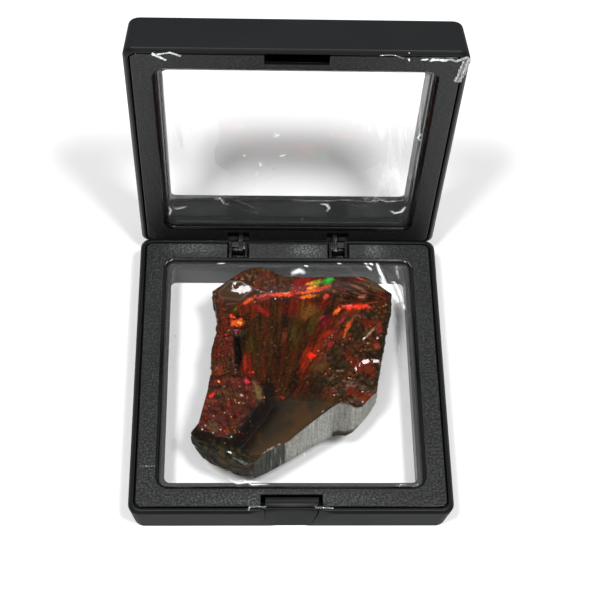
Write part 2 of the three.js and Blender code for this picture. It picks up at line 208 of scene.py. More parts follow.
def surface(name, points, faces):
    """A mesh object from box millimetres and four-sided faces, with smooth shading."""
    mesh = bpy.data.meshes.new(name)
    used, packed = np.unique(faces, return_inverse=True)
    packed = packed.reshape(faces.shape).astype(np.int32)
    mesh.vertices.add(len(used))
    mesh.vertices.foreach_set("co", place(points[used]).astype(np.float32).ravel())
    mesh.loops.add(packed.size)
    mesh.loops.foreach_set("vertex_index", packed.ravel())
    mesh.polygons.add(len(packed))
    mesh.polygons.foreach_set("loop_start", np.arange(0, packed.size, 4, dtype=np.int32))
    mesh.polygons.foreach_set("use_smooth", np.ones(len(packed), bool))
    mesh.update(calc_edges=True)
    return put_in_scene(name, mesh)


def put_in_scene(name, data):
    item = bpy.data.objects.new(name, data)
    bpy.context.scene.collection.objects.link(item)
    return item


def vectors(items, key):
    """A vector that every vertex or face of a mesh has, as rows."""
    values = np.empty(len(items) * 3, np.float32)
    items.foreach_get(key, values)
    return values.reshape(-1, 3)


def add_attribute(piece, name, values):
    """A number, a vector or a colour for each vertex, by the count of values in a row."""
    values = np.asarray(values, np.float32).reshape(len(values), -1)
    kind, key = {
        1: ("FLOAT", "value"), 3: ("FLOAT_VECTOR", "vector"), 4: ("FLOAT_COLOR", "color"),
    }[values.shape[1]]
    attribute = piece.data.attributes.new(name, kind, "POINT")
    attribute.data.foreach_set(key, values.ravel())


def settings():
    return bpy.context.scene.ammolite_box


# --- Material helpers ---

def linear(hex_colour):
    """An sRGB hex value as linear red, green and blue."""
    parts = np.array([int(hex_colour[i:i + 2], 16) for i in (0, 2, 4)]) / 255
    return np.where(parts <= 0.04045, parts / 12.92, ((parts + 0.055) / 1.055) ** 2.4)


def rgba(hex_colour, scale=1.0):
    return (*(linear(hex_colour) * scale), 1.0)


def add_node(tree, kind, inputs=(), stops=(), **options):
    """A node with its options, its inputs, in order or by name, and its ramp stops. An input is
    a value, a socket or a node, which stands for its first output in use."""
    item = tree.nodes.new("ShaderNode" + kind)
    for name, value in options.items():
        setattr(item, name, value)
    for key, value in inputs.items() if isinstance(inputs, dict) else enumerate(inputs):
        if isinstance(value, bpy.types.Node):
            value = next(socket for socket in value.outputs if socket.enabled)
        if isinstance(value, bpy.types.NodeSocket):
            tree.links.new(value, item.inputs[key])
        else:
            item.inputs[key].default_value = value
    for _ in stops[2:]:
        item.color_ramp.elements.new(1.0)
    for number, (position, colour) in enumerate(stops):
        element = item.color_ramp.elements[number]
        element.position = position
        element.color = colour
    return item


def new_material(name):
    """An empty material, add_node for its tree, and its Object coordinates."""
    material = bpy.data.materials.new(name)
    material.use_nodes = True
    material.node_tree.nodes.clear()
    node = partial(add_node, material.node_tree)
    return material, node, node("TexCoord").outputs["Object"]


# --- Materials ---

def moulded_polystyrene(name, hex_colour, roughness, specular):
    """Injection-moulded black polystyrene: a smooth face with highlights as sharp as its
    roughness gives, slightly uneven where the melt flowed, and with a fine mould skin."""
    material, node, where = new_material(name)
    # Flow marks are about 14 mm wide
    flow = node("TexNoise", {"Vector": where, "Scale": 70.0, "Detail": 3.0})
    # Spark-eroded mould skin, about 0.25 mm from grain to grain
    skin = node("TexNoise", {"Vector": where, "Scale": 4000.0, "Detail": 2.0})
    tone = node("Mix", {0: flow, 6: rgba(hex_colour), 7: rgba(hex_colour, 1.4)}, data_type="RGBA")
    gloss = node("MapRange", {0: flow, "To Min": roughness * 0.85, "To Max": roughness * 1.2})
    bump = node("Bump", {"Height": skin, "Strength": 0.15, "Distance": 0.00003})
    node("OutputMaterial", [node("BsdfPrincipled", {
        "Base Color": tone, "Roughness": gloss, "Normal": bump, "IOR": 1.55,
        "Specular IOR Level": specular,
    })])
    return material


# Places on the lower frame drawn greyer, or darker: painted sheen over the back and front ledges, a
# rubbed line on the left ledge and a dark mark; middle, half size and strength
RUBBED_AND_SHEEN = [
    ((4.4, 31.6, 9.4), (6, 3.2, 3), 6), ((20.5, 31.6, 9.4), (4, 3, 3), 5),
    ((-22, 32, 9.4), (9, 2.8, 3), 3.6), ((-31.2, -24.1, 9.4), (2.6, 0.18, 2), 14),
    ((-28.9, -29.7, 9.4), (1, 0.6, 2), 0.3), ((0, -32, 9.4), (34, 3, 3), 2.6),
]


def grained_polystyrene(name, hex_colour, grain_mm):
    """Black polystyrene with a leather-grained face: matt pebbles and finer speckle that turn the light
    grey at a low angle, with soft lighter patches of painted sheen on the ledges and a few rubbed marks."""
    material, node, where = new_material(name)
    per_metre = 1 / (grain_mm * MM)
    pebbles = node("TexVoronoi", {"Vector": where, "Scale": per_metre})
    speckle = node("TexNoise", {"Vector": where, "Scale": per_metre * 0.8, "Detail": 3.0})
    cloud = node("TexNoise", {"Vector": where, "Scale": 110.0, "Detail": 4.0})
    grain = node("Math", [pebbles, speckle], operation="ADD")
    patches = node("ValToRGB", [cloud], stops=[
        (0.3, rgba(hex_colour, 0.9)), (0.7, rgba(hex_colour, 1.15)),
    ])
    # The tops of the grain are worn a little greyer than the valleys
    worn_and_sheen = node("MapRange", [speckle, 0.46, 0.66, 0.4, 3.4])
    # Painted sheen: the broad patches over the back and front ledges stand in for reflected light; the
    # narrow line and the dark spot are marks
    for middle, half_size, strength in RUBBED_AND_SHEEN:
        offset = node("VectorMath", [where, tuple(place(middle))], operation="SUBTRACT")
        per_size = tuple(1 / (MM * np.array(half_size)))
        spread = node("VectorMath", [offset, per_size], operation="MULTIPLY")
        away = node("VectorMath", [spread], operation="LENGTH")
        rub_and_sheen = node("MapRange", [away, 1.0, 0.0, 1.0, strength], interpolation_type="SMOOTHSTEP")
        worn_and_sheen = node("Math", [worn_and_sheen, rub_and_sheen], operation="MULTIPLY")
    tone = node("VectorMath", {0: patches, "Scale": worn_and_sheen}, operation="SCALE")
    gloss = node("MapRange", [speckle, 0.3, 0.7, 0.36, 0.62])
    bump = node("Bump", {"Height": grain, "Strength": 0.5, "Distance": 0.00008})
    node("OutputMaterial", [node("BsdfPrincipled", {
        "Base Color": tone, "Roughness": gloss, "Normal": bump, "IOR": 1.55,
        "Specular IOR Level": 0.3,
    })])
    return material


def stretch_film(name):
    """Clear polyurethane stretch film: see-through, glossy, with faint waves that bend what it mirrors,
    and white along its creases, partly the film's own whitening and partly painted glints. Lamps and
    scattered light pass straight through each face, a little dimmed."""
    material, node, where = new_material(name)
    film = settings().film
    # Slack waves about 6 mm apart
    waves = node("TexNoise", {"Vector": where, "Scale": 160.0, "Detail": 2.0})
    bump = node("Bump", {"Height": waves, "Strength": 0.06, "Distance": 0.0005})
    sheet = node("BsdfPrincipled", {
        "Base Color": rgba("ffffff"), "Roughness": film.roughness, "IOR": film.ior,
        "Transmission Weight": 1.0, "Specular IOR Level": 0.45, "Normal": bump,
    })
    whitening_and_glint = node("Attribute", attribute_name="whitening_and_glint").outputs["Fac"]
    # Whitened creases and painted glints are broken up into threads about 0.5 mm long
    threads = node("TexNoise", {"Vector": where, "Scale": 1800.0, "Detail": 3.0})
    broken = node("Math", [threads, 0.7, -0.35], operation="MULTIPLY_ADD")
    ragged = node("Math", [whitening_and_glint, broken], operation="ADD")
    white_and_glint_level = node("Math", [whitening_and_glint, ragged], operation="MULTIPLY", use_clamp=True)
    # Dust lies in loose groups, in specks of about 0.2 mm
    fluff = node("TexNoise", {"Vector": where, "Scale": 1100.0, "Detail": 2.0})
    groups = node("TexNoise", {"Vector": where, "Scale": 90.0})
    specks = node("MapRange", [fluff, 0.7, 0.78])
    dusty = node("MapRange", [groups, 0.5, 0.7, 0.0, 0.5])
    dust = node("Math", [specks, dusty], operation="MULTIPLY")
    # A sheet of film is two faces, each very faintly milky all over
    hazy = node("Math", [dust, 0.012], operation="MAXIMUM")
    white_share = node("Math", [white_and_glint_level, hazy], operation="MAXIMUM")
    white = node("BsdfDiffuse", [rgba("f6f8f8")])
    sheet_whitened = node("MixShader", [white_share, sheet, white])
    ray = node("LightPath").outputs
    passing = node("Math", [ray["Is Shadow Ray"], ray["Is Diffuse Ray"]], operation="MAXIMUM")
    clear = node("BsdfTransparent", [rgba("fafafa")])
    node("OutputMaterial", [node("MixShader", [passing, sheet_whitened, clear])])
    return material


def ammolite(name):
    """Polished ammonite shell: wine-red and olive layers under a wet-looking gloss, streaked along the
    shell's growth lines, with orange, red and green flashes where thin layers of aragonite break the
    light. Among the flashes a few pale spots paint highlights and a near-black streak paints shade, and
    whitish specks paint tiny glints."""
    material, node, where = new_material(name)
    tone, flash_and_painted_light, growth, streaky, matt, sparkly = (
        node("Attribute", attribute_name=key).outputs
        for key in ("tone", "flash_and_painted_light", "growth", "streaky", "matt", "sparkly")
    )
    # Growth coordinates are in millimetres, across and along the streaks
    stretched = node("Mapping", {"Vector": growth["Vector"], "Scale": (1.6, 0.16, 1.0)})
    streaks = node("TexNoise", {
        "Vector": stretched, "Scale": 1.0, "Detail": 5.0, "Roughness": 0.65, "Distortion": 0.6,
    })
    grains = node("TexNoise", {"Vector": where, "Scale": 2200.0, "Detail": 3.0, "Roughness": 0.6})
    dark = node("MapRange", [streaks, 0.62, 0.35])
    share = node("Math", [dark, streaky["Fac"]], operation="MULTIPLY")
    veil = node("Mix", {0: share, 6: rgba("ffffff"), 7: rgba("a09890")}, data_type="RGBA")
    streaked = node("Mix", {0: 1.0, 6: tone["Color"], 7: veil}, data_type="RGBA",
                    blend_type="MULTIPLY")
    crackle = node("MapRange", [grains, 0.36, 0.56, 0.35, 1.0])
    strength = node("Math", [flash_and_painted_light["Alpha"], crackle], operation="MULTIPLY")
    lit = node("Mix", {0: strength, 6: streaked, 7: flash_and_painted_light["Color"]}, data_type="RGBA")
    # Sparkles: specks about 0.4 mm wide in four of ten cells of a 0.8 mm pattern, coloured as flecks of
    # fire, with whitish ones that paint tiny glints
    cells = node("TexVoronoi", {"Vector": where, "Scale": 1250.0})
    drawn = node("SeparateColor", [cells.outputs["Color"]]).outputs
    specks = node("MapRange", [cells, 0.3, 0.16])
    chosen = node("Math", [drawn["Red"], 0.6], operation="GREATER_THAN")
    sparkle = node("Math", [specks, chosen], operation="MULTIPLY")
    speckled = node("Math", [sparkle, sparkly["Fac"]], operation="MULTIPLY")
    fires_and_glints = node("ValToRGB", [drawn["Green"]], stops=[
        (0.0, rgba("b81c10")), (0.3, rgba("c8501c")), (0.5, rgba("a87a3c")),
        (0.68, rgba("e8dcc8")), (0.8, rgba("76705c")), (1.0, rgba("8a2420")),
    ])
    sparkling = node("Mix", {0: speckled, 6: lit, 7: fires_and_glints}, data_type="RGBA")
    gloss = node("Math", [grains, 0.12, matt["Fac"]], operation="MULTIPLY_ADD")
    grainy = node("Math", [grains, 0.6, streaks], operation="MULTIPLY_ADD")
    heights = node("Math", [grainy, streaky["Fac"]], operation="MULTIPLY")
    bump = node("Bump", {"Height": heights, "Strength": 0.25, "Distance": 0.00006})
    node("OutputMaterial", [node("BsdfPrincipled", {
        "Base Color": sparkling, "Roughness": gloss, "Normal": bump, "IOR": 1.5,
        "Specular IOR Level": 0.15,
    })])
    return material


def sawn_shale(name):
    """Dark shale where a diamond saw cut it: dull grey with upright saw lines, almost black
    at its left end."""
    material, node, where = new_material(name)
    tone = node("Attribute", attribute_name="tone").outputs["Color"]
    wall = node("Attribute", attribute_name="wall").outputs["Vector"]
    # Saw lines stand about 0.3 mm apart and run the full height of the cut
    stretched = node("Mapping", {"Vector": wall, "Scale": (4.5, 0.2, 1.0)})
    lines = node("TexNoise", {"Vector": stretched, "Scale": 1.0, "Detail": 4.0, "Roughness": 0.6})
    grit = node("TexNoise", {"Vector": where, "Scale": 1900.0, "Detail": 3.0})
    shade = node("MapRange", [lines, 0.32, 0.66, 0.52, 1.36])
    pits = node("MapRange", [grit, 0.32, 0.62, 0.74, 1.15])
    pitted = node("Math", [shade, pits], operation="MULTIPLY")
    lined = node("VectorMath", {0: tone, "Scale": pitted}, operation="SCALE")
    heights = node("Math", [grit, 0.5, lines], operation="MULTIPLY_ADD")
    bump = node("Bump", {"Height": heights, "Strength": 0.5, "Distance": 0.0001})
    node("OutputMaterial", [node("BsdfPrincipled", {
        "Base Color": lined, "Roughness": 0.5, "Normal": bump,
    })])
    return material


def raw_shale(name):
    """Broken shale: dark grey-brown, rusty in places, with a crumbly face."""
    material, node, where = new_material(name)
    tone = node("Attribute", attribute_name="tone").outputs["Color"]
    crumbs = node("TexNoise", {"Vector": where, "Scale": 1500.0, "Detail": 5.0, "Roughness": 0.65})
    shade = node("MapRange", [crumbs, 0.3, 0.7, 0.5, 1.5])
    mottled = node("VectorMath", {0: tone, "Scale": shade}, operation="SCALE")
    bump = node("Bump", {"Height": crumbs, "Strength": 0.6, "Distance": 0.0003})
    node("OutputMaterial", [node("BsdfPrincipled", {
        "Base Color": mottled, "Roughness": 0.45, "Normal": bump,
    })])
    return material


def matt_paper(name, hex_colour):
    """Matt white photo paper for the floor."""
    material, node, where = new_material(name)
    cloud = node("TexNoise", {"Vector": where, "Scale": 6.0, "Detail": 2.0})
    tone = node("ValToRGB", [cloud], stops=[
        (0.3, rgba(hex_colour, 0.99)), (0.7, rgba(hex_colour)),
    ])
    node("OutputMaterial", [node("BsdfPrincipled", {
        "Base Color": tone, "Roughness": 0.9, "Specular IOR Level": 0.1,
    })])
    return material


# --- Box: shells and inner frames ---

# The windows' corner arcs are drawn tighter than in the nodes: height in a half, half size of the
# window there, radius in the node and new radius
SHELL_ARCS = [
    (0, 28.3, 4, 1.6), (0.3, 28, 4, 1.3), (8.3, 27.5, 4, 1.3), (1.4, 29.4, 5.4, 2.7),
    (8.3, 28.9, 5.4, 2.7),
]
FRAME_ARCS = [(8.65, 28.65, 4, 1.9), (9.05, 28.65, 4, 1.9), (9.4, 29.3, 4.65, 2.5)]
WALL_DEPTH = 1.2                  # outer walls, with the rounding of their corners
HINGE_HALVES = (9, 14.6)          # where the hinges are, from and to, out from the middle
HINGE_FROM = 28.7
CATCH_HALF, CATCH_FROM = 9, -34   # the catch's field in the front wall
MERGE_METRES, FLAT_DEGREES = 0.000001, 0.5
EDGE_DEGREES = 28                 # edges sharper than this are rounded
FACE_FROM = 0.95                  # least upward slope of a frame's grained face


def tighten(x, y, z, arcs):
    """Each point of an arc keeps its direction from the arc's middle and gets the new radius.
    The middle moves so that the arc still meets the same two straight sides."""
    for height, half, old, new in arcs:
        across, along = np.abs(x) - (half - old), np.abs(y) - (half - old)
        distance = np.hypot(across, along)
        on_arc = (np.abs(z - height) < 0.03) & (np.abs(distance - old) < 0.04)
        on_arc &= (across > -0.02) & (along > -0.02)
        scale = new / np.maximum(distance, 1e-6)
        moved_x = np.sign(x) * (half - new + across * scale)
        moved_y = np.sign(y) * (half - new + along * scale)
        x, y = np.where(on_arc, moved_x, x), np.where(on_arc, moved_y, y)
    return x, y, z


def joined_copy(body, node, name, arcs):
    """A copy of the CAD piece with its loose triangles joined and its window's corners
    tightened. Returns the copy and, for each face, its middle in the half's millimetres and how
    far it faces the parting side, -1 to 1."""
    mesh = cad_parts[node].data.copy()
    work = bmesh.new()
    work.from_mesh(mesh)
    bmesh.ops.remove_doubles(work, verts=work.verts, dist=MERGE_METRES)
    bmesh.ops.dissolve_limit(
        work, angle_limit=math.radians(FLAT_DEGREES), verts=work.verts, edges=work.edges)
    work.to_mesh(mesh)
    work.free()
    mesh.materials.clear()
    mesh.polygons.foreach_set("use_smooth", np.ones(len(mesh.polygons), bool))

    x, y, z = taken_back(vectors(mesh.vertices, "co"))
    if body == "lid":
        x, y, z = lid_from_half(*tighten(*half_from_lid(x, y, z), arcs))
    else:
        x, y, z = tighten(x, y, z, arcs)
    mesh.vertices.foreach_set("co", place(np.stack([x, y, z], -1)).astype(np.float32).ravel())
    mesh.update()

    middles = taken_back(vectors(mesh.polygons, "center"))
    _, backwards, facing = vectors(mesh.polygons, "normal").T
    if body == "lid":
        middles, facing = half_from_lid(*middles), -backwards
    return put_in_scene(name, mesh), np.stack(middles, -1), facing


def round_edges(piece, node, edge_mm, edge_material):
    """Rounds the edges as a mould does and keeps the flat faces flat to the eye. A corner that
    the rounding throws out of the node's box is drawn back to it."""
    rounding = piece.modifiers.new("Moulded edges", "BEVEL")
    rounding.width = edge_mm * MM
    rounding.segments = 2
    rounding.limit_method = "ANGLE"
    rounding.angle_limit = math.radians(EDGE_DEGREES)
    rounding.use_clamp_overlap = False
    rounding.material = edge_material
    rounded = bpy.data.meshes.new_from_object(
        piece.evaluated_get(bpy.context.evaluated_depsgraph_get()))
    piece.modifiers.clear()
    low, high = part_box(node)
    drawn_back = np.clip(vectors(rounded.vertices, "co"), low, high).astype(np.float32)
    rounded.vertices.foreach_set("co", drawn_back.ravel())
    rounded.update()
    piece.data = rounded
    flat = piece.modifiers.new("Flat faces", "WEIGHTED_NORMAL")
    flat.weight = 100


class ShellSettings(bpy.types.PropertyGroup):
    colour: bpy.props.StringProperty(
        name="Shell colour", description="sRGB hex value of the shells", default="0c0d0e")
    wall_colour: bpy.props.StringProperty(
        name="Wall colour", description="sRGB hex value of the outer walls", default="1c1d1e")
    frame_colour: bpy.props.StringProperty(
        name="Frame colour", description="sRGB hex value of the inner frames", default="161717")
    roughness: bpy.props.FloatProperty(
        name="Shell roughness", description="Middle roughness of the satin shells",
        default=0.38, min=0.1, max=0.9)
    grain: bpy.props.FloatProperty(
        name="Grain", description="Distance between the pebbles of the leather grain, in mm",
        default=0.36, min=0.1, max=2)
    edge: bpy.props.FloatProperty(
        name="Edge rounding", description="Width of the rounded edges, in mm",
        default=0.16, min=0.02, max=0.4)


class AMMOLITE_OT_shells(bpy.types.Operator):
    """Draw both outer shells with their hinge and catch"""
    bl_idname = "ammolite.shells"
    bl_label = "Outer Shells"

    def execute(self, context):
        shell = settings().shell
        rim = moulded_polystyrene("moulded_polystyrene", shell.colour, shell.roughness, 0.16)
        # The outer walls are duller than the rims, and the hinge is polished by use
        wall = moulded_polystyrene("dull_polystyrene", shell.wall_colour, 0.5, 0.03)
        worn_and_sheen = moulded_polystyrene("worn_polystyrene", shell.colour, 0.2, 0.4)
        for body, node in (("base", "base_shell"), ("lid", "lid_shell")):
            piece, middles, facing = joined_copy(body, node, f"{body}_shell_moulding", SHELL_ARCS)
            for material in (rim, wall, worn_and_sheen):
                piece.data.materials.append(material)
            x, y, z = middles.T
            out, upright = np.abs(x), np.abs(facing) < 0.5
            is_wall = (np.maximum(out, np.abs(y)) > HALF_WIDTH - WALL_DEPTH) & (z < PARTING)
            is_catch = (out < CATCH_HALF) & (y < CATCH_FROM)
            at_hinge = (out > HINGE_HALVES[0]) & (out < HINGE_HALVES[1]) & (y > HINGE_FROM) & (z > 1)
            kind = np.where(at_hinge, 2, np.where((is_wall | is_catch) & upright, 1, 0))
            piece.data.polygons.foreach_set("material_index", kind.astype(np.int32))
            round_edges(piece, node, shell.edge, -1)
            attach(piece, body)
            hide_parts(node)
        return {"FINISHED"}


class AMMOLITE_OT_inner_frames(bpy.types.Operator):
    """Draw the inner frames that clamp the films, grained in front and polished at their edges"""
    bl_idname = "ammolite.inner_frames"
    bl_label = "Inner Frames"

    def execute(self, context):
        shell = settings().shell
        grained = grained_polystyrene("grained_polystyrene", shell.frame_colour, shell.grain)
        polished = moulded_polystyrene("polished_polystyrene", "080808", 0.14, 0.4)
        for body in ("base", "lid"):
            node = f"{body}_inner_frame"
            piece, middles, facing = joined_copy(body, node, f"{body}_frame_moulding", FRAME_ARCS)
            piece.data.materials.append(grained)
            piece.data.materials.append(polished)
            is_face = (facing > FACE_FROM) & (middles[:, 2] > PARTING - 0.1)
            piece.data.polygons.foreach_set("material_index", (~is_face).astype(np.int32))
            round_edges(piece, node, shell.edge, 1)
            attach(piece, body)
            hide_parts(node)
        return {"FINISHED"}


# --- Films ---

# Creases, each a path, a height, a half width and a milkiness, which is partly the film's whitening and
# partly a painted glint. The lower film's are in x and y.
BASE_CREASES = [
    ([(20.8, 29.3), (21, 28.7), (21.4, 27.2), (22.1, 25.3), (23, 23.2)], 0.15, 0.34, 1.1),
    ([(21.6, 25), (22.3, 23.7), (23.2, 22.2), (24.1, 21.4), (25.6, 17.6)], 0.15, 0.6, 1.1),
    ([(24, 23.7), (25, 23.4), (25.7, 21.7), (26.4, 19.2), (26.7, 17.6)], 0.12, 0.26, 1.2),
    ([(26.7, 17.6), (27, 15.8)], 0.05, 0.3, 0.9),
    # Painted glints: the short creases on this line and the next three are white mostly for the glints
    # they stand for
    ([(18.0, 28.8), (18.9, 28.3)], 0.05, 0.22, 1.2), ([(19.2, 28.8), (20.2, 28.1)], 0.05, 0.3, 1.3),
    ([(18.4, 28.0), (19.9, 26.6)], 0.06, 0.2, 1.2), ([(3.6, 27.9), (4.8, 27.6)], 0.04, 0.2, 1),
    ([(11.4, 28.7), (12.8, 28.4)], 0.04, 0.2, 1), ([(-17, 28.3), (-14.8, 28.4)], 0.05, 0.16, 1.1),
    ([(0.4, 25.6), (2.6, 26.6), (4.2, 25.8)], 0.03, 0.6, 0.85),
    ([(25.5, 28.6), (25.7, 26.4), (26.2, 23.9)], 0.04, 0.4, 0.42),
    ([(23.5, 14.3), (25.2, 12.2), (26.5, 10.3)], 0.04, 0.3, 0.3),
    ([(13.4, 28), (16.2, 25), (18, 23.4)], 0.04, 0.35, 0.22),
    ([(-26, 9.4), (-21, 14.6), (-17, 18.6)], 0.05, 0.8, 0.12),
    ([(-25, 5.4), (-21.4, 8.6)], 0.04, 0.7, 0.1), ([(25.4, 7), (25.1, 4)], 0.06, 0.3, 0.4),
    ([(-14, -26.6), (-11.6, -27.8), (-9, -27.4), (-6, -27.6)], 0.12, 0.3, 0.8),
    ([(-12.6, -27.6), (-10.4, -26.9), (-8.6, -28.1), (-4.6, -28)], 0.1, 0.16, 0.9),
]

# The upper film's are in x and height on the upright half
LID_CREASES = [
    ([(19.4, 58.5), (22.5, 41.3), (26.7, 22.2)], 0.05, 0.5, 0.25),
    ([(21.5, 58.6), (24, 47), (26.4, 35.8)], 0.05, 0.4, 0.25),
    ([(22, 31.6), (23.6, 27), (23.4, 23.8)], 0.06, 0.3, 0.6),
    ([(19.7, 34.7), (21.9, 28.1), (23, 23.4)], 0.05, 0.3, 0.4),
    ([(-17.1, 60.4), (-11.5, 62.8), (-6.9, 63.5), (-3.2, 64.5), (0.9, 64.9)], 0.05, 0.3, 0.3),
    ([(-4.4, 47.4), (-3.4, 46.2), (-2.4, 46.6)], 0.05, 0.24, 1),
    ([(-4.6, 45.6), (-3.4, 46.2), (-3, 47.2)], 0.05, 0.24, 0.9),
    ([(-10.9, 39.2), (-10.2, 38.7)], 0.05, 0.26, 1),
    ([(-3, 38.6), (-2, 39.1), (-1.2, 39.6)], 0.05, 0.24, 1),
    ([(-7.6, 36.8), (-6.8, 35.8), (-7.2, 34.6)], 0.05, 0.24, 1),
    ([(-7.6, 33), (-7.9, 31.6), (-7.6, 30.8)], 0.05, 0.22, 0.8),
    ([(15.4, 51.4), (16, 49), (16.2, 46.6)], 0.05, 0.22, 0.6),
    ([(12.6, 50.8), (13.6, 50.3)], 0.05, 0.24, 0.8),
    ([(-10, 63.8), (-7.4, 63), (-4, 63.2)], 0.05, 0.28, 0.9),
    ([(-24.6, 56), (-24, 48), (-23.4, 40)], 0.05, 0.6, 0.16),
    ([(-22, 57), (-21.6, 50), (-21.4, 44)], 0.05, 0.5, 0.14),
    ([(20.4, 52.6), (21, 46), (21.4, 38), (21.8, 31)], 0.05, 0.7, 0.22),
    ([(23.6, 54), (24, 46), (24.6, 36), (25.4, 27)], 0.05, 0.6, 0.26),
    ([(26.6, 60), (27, 52), (27.6, 46)], 0.08, 0.3, 0.5),
    ([(27, 48.4), (27.6, 47.4), (27.2, 46.2), (28, 45)], 0.1, 0.26, 0.9),
    ([(27.8, 44), (28, 36), (28.2, 28)], 0.08, 0.24, 0.4),
    ([(7, 20.5), (8.6, 20.3), (9.3, 19.1), (9, 17)], 0.14, 0.28, 1.25),
    ([(23.6, 18.1), (25, 16.9), (26.4, 17.5), (27.3, 20)], 0.14, 0.3, 1.2),
    ([(-28.2, 19.4), (-27.6, 17.8), (-28.2, 15.3)], 0.14, 0.28, 0.8),
    ([(-27.2, 19.2), (-26.4, 18), (-23.5, 19)], 0.12, 0.26, 0.7),
    ([(-17.2, 21.4), (-16.1, 22.7), (-15.2, 20.4), (-13.6, 19.5)], 0.14, 0.2, 0.75),
    ([(-13.8, 20.2), (-10.3, 17.4), (-6.3, 16.1), (-4.5, 17.1)], 0.08, 0.2, 0.34),
    ([(-12.8, 21.4), (-9.6, 19.8), (-7.4, 18.2), (-5.2, 18.8)], 0.08, 0.2, 0.36),
    ([(13.6, 20.6), (16.4, 19.4), (18.8, 19.8)], 0.06, 0.22, 0.3),
    ([(-0.8, 22), (7.1, 21.7), (14, 22.2), (19.2, 21.3)], 0.08, 0.18, 0.5),
    ([(19.2, 21.3), (21, 22.4), (22.9, 21.6), (26.8, 22.3)], 0.1, 0.2, 0.75),
    ([(18.4, 21), (19.4, 22.2), (20.4, 21.2)], 0.08, 0.16, 0.7),
    ([(-26, 16.4), (-21, 15.2), (-15.4, 15.6)], 0.08, 0.5, 0.12),
    ([(9.4, 15.4), (13, 14.6), (17, 16)], 0.06, 0.5, 0.1),
]


def folded(x, y, creases):
    """Height and milkiness of a film's creases at each point, the milkiness partly whitening and partly
    painted glint. Each crease is a small ridge along its path: a bell curve across it that fades out
    towards both ends."""
    height, whitening_and_glint = np.zeros(x.shape), np.zeros(x.shape)
    for path, ridge, half_width, white_and_glint_level in creases:
        distance, along = from_path(x, y, path)
        shape = np.exp(-(distance / half_width) ** 2) * np.sin(math.pi * along) ** 0.5
        height = height + ridge * shape
        whitening_and_glint = np.maximum(whitening_and_glint, white_and_glint_level * shape)
    return height, whitening_and_glint


def rim_roll(x, y):
    """The film rolls up over the window's edge and down to the lip that clamps it: a low rounded
    bank, steeper on its outer side, a little uneven along its length."""
    out = np.maximum(np.abs(x), np.abs(y))
    along = np.where(np.abs(x) > np.abs(y), y, x)
    height = 0.2 * (1 + 0.25 * hills(along / 3, np.sign(x + y), 7))
    width = np.where(out > WINDOW_HALF, 0.42, 1.1)
    return height * np.exp(-((out - WINDOW_HALF) / width) ** 2)


def film_grid(slot_depth):
    """Grid of a square film, with lines on the sides of its hinge slots and catch notch, and
    its faces without those that lie in a slot or in the notch."""
    near_lip = np.arange(27.3, 28.9, 0.16)
    even = np.concatenate([np.linspace(-FILM_HALF, FILM_HALF, FILM_LINES), near_lip, -near_lip])
    xs = np.unique(np.round(even, 3))
    ys = xs.copy()
    for line in (-SLOT[1], -SLOT[0], -NOTCH_HALF, NOTCH_HALF, SLOT[0], SLOT[1]):
        xs[np.abs(xs - line).argmin()] = line
    for line in (-NOTCH_DEPTH, slot_depth):
        ys[np.abs(ys - line).argmin()] = line
    x, y = np.meshgrid(xs, ys)
    faces = grid_faces(len(ys), len(xs))
    middle_x, middle_y = x.ravel()[faces].mean(1), y.ravel()[faces].mean(1)
    in_slot = (np.abs(middle_x) > SLOT[0]) & (np.abs(middle_x) < SLOT[1]) & (middle_y > slot_depth)
    in_notch = (np.abs(middle_x) < NOTCH_HALF) & (middle_y < -NOTCH_DEPTH)
    return x, y, faces[~(in_slot | in_notch)]


def free_film(x, y):
    """1 where the film is free inside the window, 0 where it is clamped."""
    return soft_step(0, 2.5, LIP_INNER - np.abs(x)) * soft_step(0, 2.5, LIP_INNER - np.abs(y))


def thicken(piece, millimetres):
    """Gives a sheet its thickness, half to each side."""
    wall = piece.modifiers.new("Film thickness", "SOLIDIFY")
    wall.thickness = millimetres * MM
    wall.offset = 0


def kept(values, faces):
    """The values of the vertices that the faces use, in the order in which surface() keeps them."""
    return values.ravel()[np.unique(faces)]


class FilmSettings(bpy.types.PropertyGroup):
    ior: bpy.props.FloatProperty(
        name="IOR", description="Index of refraction of the film", default=1.5, min=1.3, max=1.7)
    roughness: bpy.props.FloatProperty(
        name="Roughness", description="Haze of the film", default=0.02, min=0, max=0.3)
    thickness: bpy.props.FloatProperty(
        name="Thickness", description="Drawn thickness, in mm", default=0.09, min=0.02, max=0.2)
    slack: bpy.props.FloatProperty(
        name="Slack", description="Height of the film's broad waves, in mm", default=0.05,
        min=0, max=0.5)


class AMMOLITE_OT_films(bpy.types.Operator):
    """Draw the lower and the upper stretch film with their creases"""
    bl_idname = "ammolite.films"
    bl_label = "Stretch Films"

    def execute(self, context):
        film = settings().film
        material = stretch_film("stretch_film")
        for body, slot_depth, wave_mm, seed in (
            ("base", BASE_SLOT_DEPTH, 16, 3), ("lid", LID_SLOT_DEPTH, 18, 8),
        ):
            x, y, faces = film_grid(slot_depth)
            waves = film.slack * rough_hills(x / wave_mm, y / wave_mm, 2, seed)
            if body == "base":
                ridges, whitening_and_glint = folded(x, y, BASE_CREASES)
                z = FILM_HEIGHT - film_sag(x, y) + (ridges + waves) * free_film(x, y)
                points = x, y, z + rim_roll(x, y)
            else:
                upright_x, _, upright_z = lid_from_half(x, y, 0)
                ridges, whitening_and_glint = folded(upright_x, upright_z, LID_CREASES)
                z = FILM_HEIGHT + (ridges + waves) * free_film(x, y)
                points = lid_from_half(x, y, z + rim_roll(x, y))
            points = np.stack(points, -1).reshape(-1, 3)
            piece = surface(f"{body}_stretch_film", points, faces)
            add_attribute(piece, "whitening_and_glint", kept(whitening_and_glint, faces))
            thicken(piece, film.thickness)
            piece.data.materials.append(material)
            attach(piece, body)
            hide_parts(f"{body}_film")
        return {"FINISHED"}


SCRAP_THICKNESS = 0.04    # in millimetres
